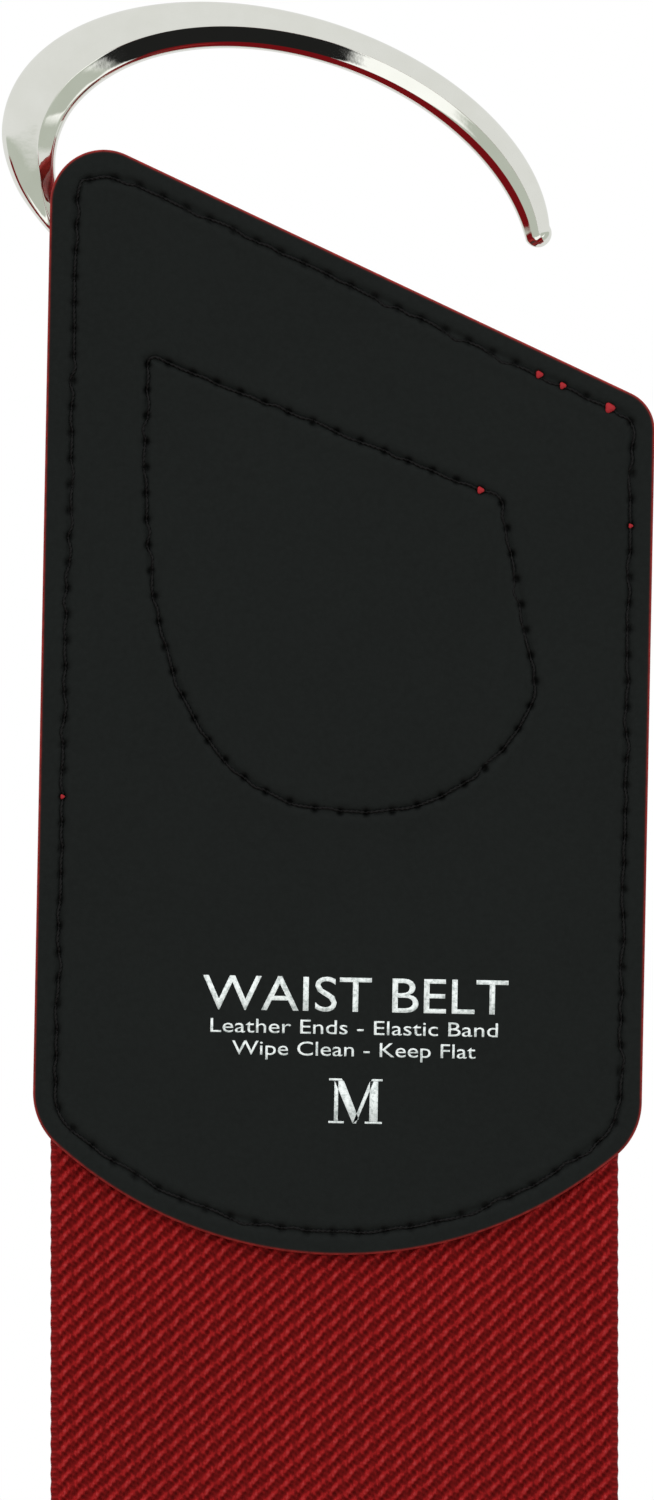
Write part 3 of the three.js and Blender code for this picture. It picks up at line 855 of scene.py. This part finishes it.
def tongue_points():
    """Loops round the folded strap, one for each step along its middle line.

    Each loop crosses the strap between the outline's two sides at that rise. It stands off the
    middle line by half a thickness times sqrt(1 - (1 - d / r)^2), d being the distance from the
    outline and r the edge's roundness, less what the seam sinks on the outer leg.
    """
    line, outline = strap_line()
    low, high = outline[:, 1].argmin(), outline[:, 1].argmax()
    order = np.roll(outline, -high, 0)
    split = (low - high) % len(outline)
    right, left = order[split::-1], order[split:]
    rise = line[:, 0]
    sides = np.sort((np.interp(rise, right[:, 1], right[:, 0]),
                     np.interp(rise, left[:, 1], left[:, 0])), 0)
    even = np.linspace(0, 1, 85)
    share = 0.35 * even + 0.65 * (1 - np.cos(math.pi * even)) / 2
    along = sides[0][:, None] + (sides[1] - sides[0])[:, None] * share
    flat = on_slant(along, rise[:, None]).reshape(-1, 2)
    distance = nearest_on(on_slant(outline[:, 0], outline[:, 1]), flat)[0].reshape(along.shape)
    distance[:, (0, -1)] = 0
    soft_edge, painted_edge, groove = 0.55, 0.3, 0.34
    stand = LEATHER / 2 * np.sqrt(1 - np.clip(1 - distance / soft_edge, 0, 1) ** 2)
    seam = nearest_on(shield_outline(0), flat)
    relief = seam_relief(*seam, groove).reshape(along.shape)
    # Painted shade in the needle holes of the seam on the outer leg.
    holes = seam_hole_shade(*seam).reshape(along.shape)
    relief[:-LEG_STEPS] = holes[:-LEG_STEPS] = 0
    tangent = np.gradient(line, axis=0)
    tangent /= np.linalg.norm(tangent, axis=1)[:, None]
    faces = []
    for off in (np.minimum(relief - stand, 0), stand):
        xz = on_slant(along, rise[:, None] - tangent[:, 1:] * off)
        faces.append(np.stack((xz[..., 0], line[:, 1:] + tangent[:, :1] * off, xz[..., 1]), -1))

    def round_the_strap(back, front):
        return np.concatenate((back, front[:, -2:0:-1]), 1)

    edge = np.clip(1 - distance / painted_edge, 0, 1)
    return *capped(round_the_strap(*faces)), {
        "edge": np.append(round_the_strap(edge, edge), (1.0, 1.0)),
        "pit": np.append(round_the_strap(holes, 0 * holes), (0.0, 0.0)),
    }


# Hook.


def on_oval(oval, degrees):
    """A tilted oval's point at an angle: cosine and sine times its halves, turned and moved."""
    t = np.radians(degrees)
    a, b = oval["half"] * np.cos(t), oval["height"] * np.sin(t)
    c, s = math.cos(math.radians(oval["tilt"])), math.sin(math.radians(oval["tilt"]))
    return np.stack((oval["along"] + a * c - b * s, oval["rise"] + a * s + b * c), -1)


def bend_curve(oval, angle, bar_end, share, steps):
    """A cubic Bezier from the oval's heading at an angle to the bar's heading at its end, pulled
    along each by a share of the distance between them."""
    start = on_oval(oval, angle)
    heading = on_oval(oval, angle + 0.5) - start
    heading /= np.linalg.norm(heading)
    pull = np.linalg.norm(bar_end - start) * share
    leave, arrive = start + heading * pull, bar_end - (pull, 0)
    t = np.linspace(0, 1, steps + 1)[1:, None]
    return ((1 - t) ** 3 * start + 3 * (1 - t) ** 2 * t * leave
            + 3 * (1 - t) * t**2 * arrive + t**3 * bar_end)


def smooth_loop(points, count):
    """A closed Catmull-Rom curve through the points, at equal steps of its parameter."""
    t = np.linspace(0, len(points), count, endpoint=False)
    i = t.astype(int)
    f = (t - i)[:, None]
    p0, p1, p2, p3 = (points[(i + k) % len(points)] for k in (-1, 0, 1, 2))
    return 0.5 * (2 * p1 + (p2 - p0) * f + (2 * p0 - 5 * p1 + 4 * p2 - p3) * f**2
                  + (3 * p1 - p0 - 3 * p2 + p3) * f**3)


def hook_section(ridge, foot, drop, steep):
    """A section's across and level. A flat bevel falls by drop for each unit across, from the
    ridge to its foot, and by steep from there to near the inside; rounded sides and a plain
    curve in front close it."""
    level = min(-1 + drop * (ridge - foot), -0.4)
    side = [(at, min(level + steep * (foot - at), -0.25))
            for at in (0.035, 0.05, (foot + 0.05) / 2)]
    bevel = [(foot + (ridge - foot) * share, level - (level + 1) * share)
             for share in (0, 0.33, 0.67, 1)]
    return smooth_loop(np.array((
        *side, *bevel,
        (ridge + 0.02, -1.0), (0.76, -0.93), (0.93, -0.76), (0.995, -0.42), (1.0, 0.0),
        (0.97, 0.46), (0.84, 0.8), (0.55, 1.0), (0.26, 0.86), (0.06, 0.44), (0.0, -0.02),
    )), SECTION_POINTS)


def hook_points():
    """Loops along the hook from its tip, over the oval and round the bend to the bar's end.

    A loop is a section given by across (0 at the oval's inside, 1 at its outside) and level
    (-1 behind, 1 in front); it turns from a bevelled oval into a circle round the bend. The
    bevel's ridge moves from the middle near the tip towards the inside at the bend, where the
    bevel's slope also falls, from 21.5 to 15.5 degrees.
    """
    k = np.linspace(0, 1, OVAL_STEPS + 1)
    inside = on_oval(INNER_OVAL, np.interp(k, (0, 1), INNER_SPAN))
    outside = on_oval(OUTER_OVAL, np.interp(k, (0, 1), OUTER_SPAN))
    depth = HOOK_DEPTH[0] + (HOOK_DEPTH[1] - HOOK_DEPTH[0]) * k**0.7
    tip_turn = np.radians(np.linspace(88, 8, TIP_STEPS))
    half = (outside[0] - inside[0]) / 2
    tip = (inside[0] + outside[0]) / 2 + np.array((half[1], -half[0])) * np.sin(tip_turn)[:, None]
    tip_half = half * np.cos(tip_turn)[:, None]
    turn_in, turn_out = (
        bend_curve(oval, span[1], np.array((BAR_ALONG[0], BAR_RISE + side)), pull, BEND_STEPS)
        for oval, span, side, pull in ((INNER_OVAL, INNER_SPAN, BAR_RADIUS, 0.38),
                                       (OUTER_OVAL, OUTER_SPAN, -BAR_RADIUS, 0.3)))
    bar = np.append(np.linspace(BAR_ALONG[0], BAR_ALONG[1] - 0.3, 20)[1:],
                    (BAR_ALONG[1] - 0.14, BAR_ALONG[1]))
    radius = np.full(len(bar), BAR_RADIUS)
    radius[-2:] -= (0.084, 0.3)
    insides = np.concatenate((tip - tip_half, inside, turn_in,
                              np.column_stack((bar, BAR_RISE + radius))))
    outsides = np.concatenate((tip + tip_half, outside, turn_out,
                               np.column_stack((bar, BAR_RISE - radius))))
    ease = np.linspace(0, 1, BEND_STEPS + 1)[1:]
    depths = np.concatenate((depth[0] * np.cos(tip_turn), depth,
                             HOOK_DEPTH[1] + (2 * BAR_RADIUS - HOOK_DEPTH[1]) * ease, 2 * radius))
    late = np.clip(1.6 * ease - 0.6, 0, 1)
    roundness = np.concatenate((np.zeros(TIP_STEPS + len(k)), late * late * (3 - 2 * late),
                                np.ones(len(bar))))[:, None, None]
    # How far along the oval each loop is decides its bevel.
    share = np.concatenate((np.zeros(TIP_STEPS), k, np.ones(BEND_STEPS + len(bar))))
    ridge = np.interp(share, (0.45, 0.85), (0.54, 0.4))
    slope = np.radians(np.interp(share, (0.79, 0.91), (21.5, 15.5)))
    foot = np.interp(share, (0, 0.5, 0.85), (0.28, 0.18, 0.1))
    run = np.gradient((insides + outsides) / 2, axis=0)
    run /= np.linalg.norm(run, axis=1)[:, None]
    across = outsides - insides
    width = np.abs(run[:, 0] * across[:, 1] - run[:, 1] * across[:, 0])
    reach = width / np.maximum(depths / 2, 0.2)
    bevels = zip(ridge, foot, np.tan(slope) * reach, math.tan(math.radians(31)) * reach)
    section = np.array([hook_section(*bevel) for bevel in bevels])
    turn = math.radians(-153) + math.tau * np.arange(SECTION_POINTS) / SECTION_POINTS
    circle = np.column_stack((0.5 + 0.5 * np.cos(turn), np.sin(turn)))
    section = section * (1 - roundness) + circle * roundness
    at = insides[:, None] + across[:, None] * section[..., :1]
    xz = on_slant(at[..., 0], at[..., 1])
    y = BAR_DEPTH + section[..., 1] * depths[:, None] / 2
    return capped(np.stack((xz[..., 0], y, xz[..., 1]), -1))


# Seams.


def thread_points(path, face, facing):
    """A closed thread of whole stitches along a seam.

    At s stitches along, its middle stands off the face by lift times |sin(pi s)|^0.6 less a
    sink, so that it dives into a hole between stitches. Seeded offsets shift each hole, and bow
    each stitch, a little sideways. Its section is two plies: radius times
    (1 + 0.16 cos 2(angle - twist)), the twist turning 2.5 times in each stitch.
    """
    thick = settings().thread
    stitches = whole_stitches(resampled(path, 400)[1])
    steps, sides = 14, 10
    line, _ = resampled(path, stitches * steps)
    share = np.arange(stitches * steps) / steps
    wave = np.abs(np.sin(math.pi * share))
    lift = 0.5 * wave**0.6 - 0.74
    chance = np.random.default_rng(7)
    holes = chance.normal(0, 0.16, stitches)
    bows = np.repeat(chance.normal(0, 0.2, stitches), steps)
    holes = np.interp(share, np.arange(stitches + 1), np.append(holes, holes[0]))
    wobble = holes + bows * wave**2
    angle = math.tau * np.arange(sides) / sides
    twist = math.tau * share[:, None] * 2.5
    pinch = 0.75 + 0.25 * wave[:, None] ** 0.5
    radius = thick / 2 * (1 + 0.16 * np.cos(2 * (angle - twist))) * pinch
    sideways = radius * np.cos(angle) + wobble[:, None]
    xz = line[:, None] + left_normals(line)[:, None] * sideways[..., None]
    y = face + facing * (lift[:, None] + thick / 2 + radius * np.sin(angle))
    verts = np.stack((xz[..., 0], y, xz[..., 1]), -1).reshape(-1, 3)
    return verts, [loops_to_faces(len(line), sides, True)], ((angle - twist) / math.pi).ravel()


def size_letter(foot, width, height):
    """A seriffed M of four-cornered strokes, as their corners' X and Z.

    Stems stand near 16 and 84 hundredths of the width and diagonals meet near the middle's foot;
    the left stem and the right diagonal are thin. The last four strokes are serifs.
    """
    thin_stem, thick_stem = (0.12, 0.19), (0.76, 0.91)
    strokes = [[(x0, 0.05), (x1, 0.05), (x1, 0.95), (x0, 0.95)]
               for x0, x1 in (thin_stem, thick_stem)]
    strokes += [
        [(0.12, 0.95), (0.29, 0.95), (0.57, 0.10), (0.46, 0.0)],
        [(0.46, 0.0), (0.52, 0.0), (0.83, 0.95), (0.76, 0.95)],
        [(0.02, 0.0), (0.30, 0.0), (0.30, 0.045), (0.02, 0.045)],
        [(0.68, 0.0), (0.99, 0.0), (0.99, 0.045), (0.68, 0.045)],
        [(0.02, 0.955), (0.27, 0.955), (0.25, 1.0), (0.02, 1.0)],
        [(0.78, 0.955), (0.99, 0.955), (0.99, 1.0), (0.80, 1.0)],
    ]
    return [foot + (np.array(stroke) - (0.5, 0)) * (width, height) for stroke in strokes]


def knot_points(places, size):
    """Small tufts: squashed balls of a sine-and-cosine grid, one at each place."""
    v = np.linspace(0.02, math.pi - 0.02, 9)[:, None]
    u = math.tau * np.arange(14) / 14
    swell = 1 + 0.18 * np.cos(3 * u)
    ball = np.stack((np.sin(v) * np.cos(u) * swell, np.cos(v) * 0.55 + 0 * u,
                     np.sin(v) * np.sin(u) * swell), -1)
    verts, faces, count = [], [], 0
    for x, y, z, scale in places:
        points, some = capped(ball * (size * scale) + (x, y, z))
        verts.append(points)
        faces += [f + count for f in some]
        count += len(points)
    return np.vstack(verts), faces


# Operators.


def studio_surround():
    """White to the camera. What the pieces reflect is a light tent above the horizon and a grey
    one below it. Under the camera hangs a black card between white ones, and under those a red
    strip, each a band of headings by how squarely they face back along Y."""
    world = bpy.data.worlds.new("Studio surround")
    world.use_nodes = True
    tree = world.node_tree
    tree.nodes.clear()
    heading = add(tree, "ShaderNodeTexCoord").outputs["Generated"]
    split = add(tree, "ShaderNodeSeparateXYZ", {"Vector": heading}).outputs
    facing = add(tree, "ShaderNodeMapRange", {"Value": split["Y"], "From Min": -1.0})
    shifted = add(tree, "ShaderNodeMath", {0: split["X"], 1: -0.055}, operation="ADD")
    aside = add(tree, "ShaderNodeMath", {0: shifted}, operation="ABSOLUTE")
    tent, white, grey = (0.68, 0.68, 0.68), (0.95, 0.95, 0.95), (0.44, 0.465, 0.42)
    black, red = (0.012, 0.012, 0.012), (0.15, 0.005, 0.007)
    strip = ((-0.61, red), (-0.24, red), (-0.22, tent))
    plain, striped, white_card, black_card = (
        add(tree, "ShaderNodeValToRGB", {"Fac": facing},
            stops=[((y + 1) / 2, colour) for y, colour in band])
        for band in (
            ((-0.4, grey), (-0.2, tent)),
            ((-0.62, grey), *strip),
            ((-0.83, grey), (-0.8, white), (-0.62, white), *strip),
            ((-0.83, grey), (-0.81, black), (-0.62, black), *strip),
        ))
    # Each step lays one colour over another where a value is under an edge, with a soft rim.
    # None stands for what the steps before it made.
    around = plain
    for value, edge, soft, below, above in (
        (split["X"], 0.42, 0.04, None, striped),
        (aside, 0.50, 0.04, None, white_card),
        (aside, 0.305, 0.03, None, black_card),
        (split["Z"], -0.2, 0.04, plain, None),
        (split["Z"], -0.03, 0.04, tent, None),
    ):
        under = add(tree, "ShaderNodeMapRange",
                    {"Value": value, "From Min": edge, "From Max": edge - soft})
        around = add(tree, "ShaderNodeMix",
                     {0: under, 6: below or around, 7: above or around},
                     data_type="RGBA").outputs[2]
    lit = add(tree, "ShaderNodeBackground", {"Color": around, "Strength": 1.25})
    seen = add(tree, "ShaderNodeBackground", {"Color": (1.0, 1.0, 1.0), "Strength": 1.0})
    straight = add(tree, "ShaderNodeLightPath").outputs["Is Camera Ray"]
    both = add(tree, "ShaderNodeMixShader", {0: straight, 1: lit, 2: seen})
    add(tree, "ShaderNodeOutputWorld", {"Surface": both})
    return world


class BELT_OT_weave_band(Operator):
    """Weaves the elastic band."""

    bl_idname = "belt.weave_band"
    bl_label = "Weave Elastic Band"

    def execute(self, context):
        band = band_piece()
        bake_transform(band)
        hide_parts("elastic_band")
        return {"FINISHED"}


class BELT_OT_cut_leathers(Operator):
    """Cuts each end's lining and front leather, with rounded, painted edges and sunk seams."""

    bl_idname = "belt.cut_leathers"
    bl_label = "Cut Leathers"

    def execute(self, context):
        lining = leather_plate(BACK_OUTER, BACK_INNER, (edge_seam(), shield_outline(0)))
        front = leather_plate(FRONT_OUTER, FRONT_INNER, (edge_seam(),))
        for end in ENDS:
            for name, (verts, faces, painted) in (("lining", lining), ("front", front)):
                made = mesh_object(f"{end}_{name}", place(verts, end), faces, material(name),
                                   painted)
                show(made, f"{end}_{name}_leather", f"{end}_end")
        return {"FINISHED"}


class BELT_OT_fold_tongues(Operator):
    """Folds each tongue round its hook's bar."""

    bl_idname = "belt.fold_tongues"
    bl_label = "Fold Tongues"

    def execute(self, context):
        verts, faces, painted = tongue_points()
        for end in ENDS:
            made = mesh_object(f"{end}_tongue_strap", place(verts, end), faces,
                               material("front"), painted)
            show(made, f"{end}_tongue", f"{end}_end")
        return {"FINISHED"}


class BELT_OT_cast_hooks(Operator):
    """Casts the two chrome hooks."""

    bl_idname = "belt.cast_hooks"
    bl_label = "Cast Hooks"

    def execute(self, context):
        verts, faces = hook_points()
        for end in ENDS:
            made = mesh_object(f"{end}_hook_cast", place(verts, end), faces, material("chrome"))
            show(made, f"{end}_hook", f"{end}_hook")
        return {"FINISHED"}


class BELT_OT_sew_seams(Operator):
    """Sews the edge and tongue seams: black thread on the lining, red on the front."""

    bl_idname = "belt.sew_seams"
    bl_label = "Sew Seams"

    def execute(self, context):
        outer_seam, tongue_seam = edge_seam(), shield_outline(0)
        seams = (
            ("edge_thread_back", outer_seam, BACK_OUTER, -1, "black thread", "lining_thread"),
            ("edge_thread_front", outer_seam, FRONT_OUTER, 1, "red thread", "front_thread"),
            ("tongue_thread_back", tongue_seam, BACK_OUTER, -1, "black thread", "lining_thread"),
            ("tongue_thread_front", tongue_seam, TONGUE_OUTER, 1, "red thread", "front_thread"),
        )
        for name, path, face, facing, finish, slot_name in seams:
            verts, faces, ply = thread_points(path, face, facing)
            for end in ENDS:
                made = mesh_object(f"{end}_{name}_sewn", place(verts, end), faces,
                                   material(finish), {"ply": ply})
                show(made, f"{end}_{name}", f"{end}_end")
        # Here and there the red front thread is pulled through to the lining side: a tuft's
        # nearby place and size, first on the edge seam and then on the tongue's.
        places = []
        for path, wanted in (
            (outer_seam, ((21.9, 109.6, 1.0), (26.3, 107.7, 0.9), (32.0, 104.7, 1.35),
                          (34.6, 88.9, 0.6), (-34.4, 57.0, 0.6))),
            (tongue_seam, ((15.3, 95.5, 0.95),)),
        ):
            holes, _ = resampled(path, whole_stitches(resampled(path, 400)[1]))
            for x, z, size in wanted:
                hole = holes[((holes - (x, z)) ** 2).sum(1).argmin()]
                places.append((hole[0], BACK_OUTER + 0.12, hole[1], size))
        verts, faces = knot_points(places, 0.46)
        for end in ENDS:
            made = mesh_object(f"{end}_thread_tufts", place(verts, end), faces,
                               material("red thread"))
            outward(made)
            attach(made, f"{end}_end")
        return {"FINISHED"}


class BELT_OT_stamp_lining(Operator):
    """Stamps the size letter and plain wording on the upper lining in white foil."""

    bl_idname = "belt.stamp_lining"
    bl_label = "Stamp Lining"

    def execute(self, context):
        # Each line's words, capital height, foot's middle and width.
        lines = (
            ("WAIST BELT", 4.3, (2.0, 30.0), 37.6),
            ("Leather Ends - Elastic Band", 1.75, (1.9, 27.2), 35.4),
            ("Wipe Clean - Keep Flat", 1.75, (1.9, 24.5), 30.0),
        )
        verts, faces, count = [], [], 0

        def stamp(flat, triangles):
            nonlocal count
            verts.append(at_depth(flat, BACK_OUTER - 0.075))
            faces.append(np.array(triangles) + count)
            count += len(flat)

        for text, cap, (x, z), width in lines:
            curve = bpy.data.curves.new("foil", "FONT")
            curve.body, curve.size, curve.align_x = text, cap / 0.7, "CENTER"
            curve.resolution_u = 4
            holder = bpy.data.objects.new("foil", curve)
            context.scene.collection.objects.link(holder)
            context.view_layer.update()
            letters = holder.evaluated_get(context.evaluated_depsgraph_get()).to_mesh()
            co = np.empty((len(letters.vertices), 3))
            letters.vertices.foreach_get("co", co.ravel())
            letters.calc_loop_triangles()
            triangles = np.empty((len(letters.loop_triangles), 3), np.int32)
            letters.loop_triangles.foreach_get("vertices", triangles.ravel())
            left, right = co[:, 0].min(), co[:, 0].max()
            stretched = (co[:, 0] - (left + right) / 2) * width / (right - left)
            stamp(np.column_stack((x + stretched, z + co[:, 1])), triangles)
            holder.to_mesh_clear()
            bpy.data.objects.remove(holder)
            bpy.data.curves.remove(curve)
        for stroke in size_letter((2.2, 16.25), 6.8, 5.5):
            stamp(stroke, ((0, 1, 2), (0, 2, 3)))
        made = mesh_object("upper_size_stamp", place(np.vstack(verts), "upper"), faces,
                           material("foil"))
        thick = made.modifiers.new("Foil thickness", "SOLIDIFY")
        thick.thickness = 0.00003
        thick.offset = 0
        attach(made, "upper_end")
        return {"FINISHED"}


class BELT_OT_paint_boards(Operator):
    """Gives the core boards, which show only at the edges, their painted fibre."""

    bl_idname = "belt.paint_boards"
    bl_label = "Paint Boards"

    def execute(self, context):
        for end in ENDS:
            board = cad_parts[f"{end}_core_board"]
            board.data.materials.clear()
            board.data.materials.append(material("board"))
        return {"FINISHED"}


class BELT_OT_set_stage(Operator):
    """Sets a pale floor, soft lights, a white surround and the camera."""

    bl_idname = "belt.set_stage"
    bl_label = "Set Stage"

    def execute(self, context):
        scene = context.scene
        paint, tree = new_material("Floor, matt white paint")
        at = add(tree, "ShaderNodeTexCoord").outputs["Object"]
        speckle = add(tree, "ShaderNodeTexNoise", {"Vector": at, "Scale": 30.0})
        tone = add(tree, "ShaderNodeValToRGB", {"Fac": speckle},
                   stops=[(0.3, hex_colour("#C6C6C5")), (0.7, hex_colour("#CACAC9"))])
        shader = add(tree, "ShaderNodeBsdfPrincipled", {"Base Color": tone, "Roughness": 0.8})
        add(tree, "ShaderNodeOutputMaterial", {"Surface": shader})
        # The floor is low enough for the stretched belt to clear it.
        size, near, height = 1.5, -0.9, CAD_BOX[0][2] - 0.16
        verts = np.array(((-size, near, height), (size, near, height), (size, size, height),
                          (-size, size, height)))
        floor = mesh_object("floor", verts, [np.array(((0, 1, 2, 3),))], paint)
        floor.visible_glossy = False
        # Each light's name, place, watts, width and aim.
        lights = (
            ("key", (-0.9, -1.1, 1.25), 9.0, 0.9, (0, 0, 0.1)),
            ("fill", (1.1, -0.9, 0.5), 3.0, 0.9, (0, 0, 0.1)),
            ("top", (0.1, 0.3, 1.4), 5.0, 1.0, (0, 0, 0.0)),
            ("back", (-0.5, 1.3, 0.9), 7.0, 0.9, (0, 0, 0.0)),
        )
        for name, where, power, width, target in lights:
            light = bpy.data.lights.new(name, "AREA")
            light.energy, light.size = power, width
            lamp = bpy.data.objects.new(name, light)
            lamp.location = where
            lamp.rotation_euler = (Vector(target) - Vector(where)).to_track_quat("-Z", "Y").to_euler()
            lamp.visible_glossy = False
            scene.collection.objects.link(lamp)
        scene.world = studio_surround()
        scene.view_settings.view_transform = "Standard"
        # The camera faces the lining squarely and takes in the upper end, 184.7 mm of height.
        distance, tall, film = 4.0, 0.1847, 18.0
        data = bpy.data.cameras.new("camera")
        data.sensor_fit, data.sensor_width, data.sensor_height = "VERTICAL", 2 * film, film
        data.lens = film * distance / tall
        data.dof.use_dof = False
        data.clip_start = 0.05
        camera = bpy.data.objects.new("camera", data)
        camera.location = (-0.00091, (BACK_OUTER - DEPTH_CENTRE) / 1000 - distance, 0.22719)
        camera.rotation_euler = (math.pi / 2, 0, 0)
        scene.collection.objects.link(camera)
        scene.camera = camera
        return {"FINISHED"}


class BELT_PT_panel(Panel):
    """Lists the settings and the steps."""

    bl_label = "Waist Belt"
    bl_idname = "BELT_PT_panel"
    bl_space_type = "VIEW_3D"
    bl_region_type = "UI"
    bl_category = "Belt"

    def draw(self, context):
        for name in BeltSettings.__annotations__:
            self.layout.prop(context.scene.belt, name)
        for step in STEPS:
            self.layout.operator(step.bl_idname)


STEPS = (
    BELT_OT_weave_band,
    BELT_OT_cut_leathers,
    BELT_OT_fold_tongues,
    BELT_OT_cast_hooks,
    BELT_OT_sew_seams,
    BELT_OT_stamp_lining,
    BELT_OT_paint_boards,
    BELT_OT_set_stage,
)
CLASSES = (BeltSettings, *STEPS, BELT_PT_panel)


def register():
    """Adds the classes and the scene's belt settings."""
    for item in CLASSES:
        bpy.utils.register_class(item)
    bpy.types.Scene.belt = PointerProperty(type=BeltSettings)


def unregister():
    """Takes them away again."""
    del bpy.types.Scene.belt
    for item in reversed(CLASSES):
        bpy.utils.unregister_class(item)


def main():
    """Builds the belt and its stage."""
    register()
    bpy.ops.belt.weave_band()
    bpy.ops.belt.cut_leathers()
    bpy.ops.belt.fold_tongues()
    bpy.ops.belt.cast_hooks()
    bpy.ops.belt.sew_seams()
    bpy.ops.belt.stamp_lining()
    bpy.ops.belt.paint_boards()
    bpy.ops.belt.set_stage()


if __name__ == "__main__":
    main()
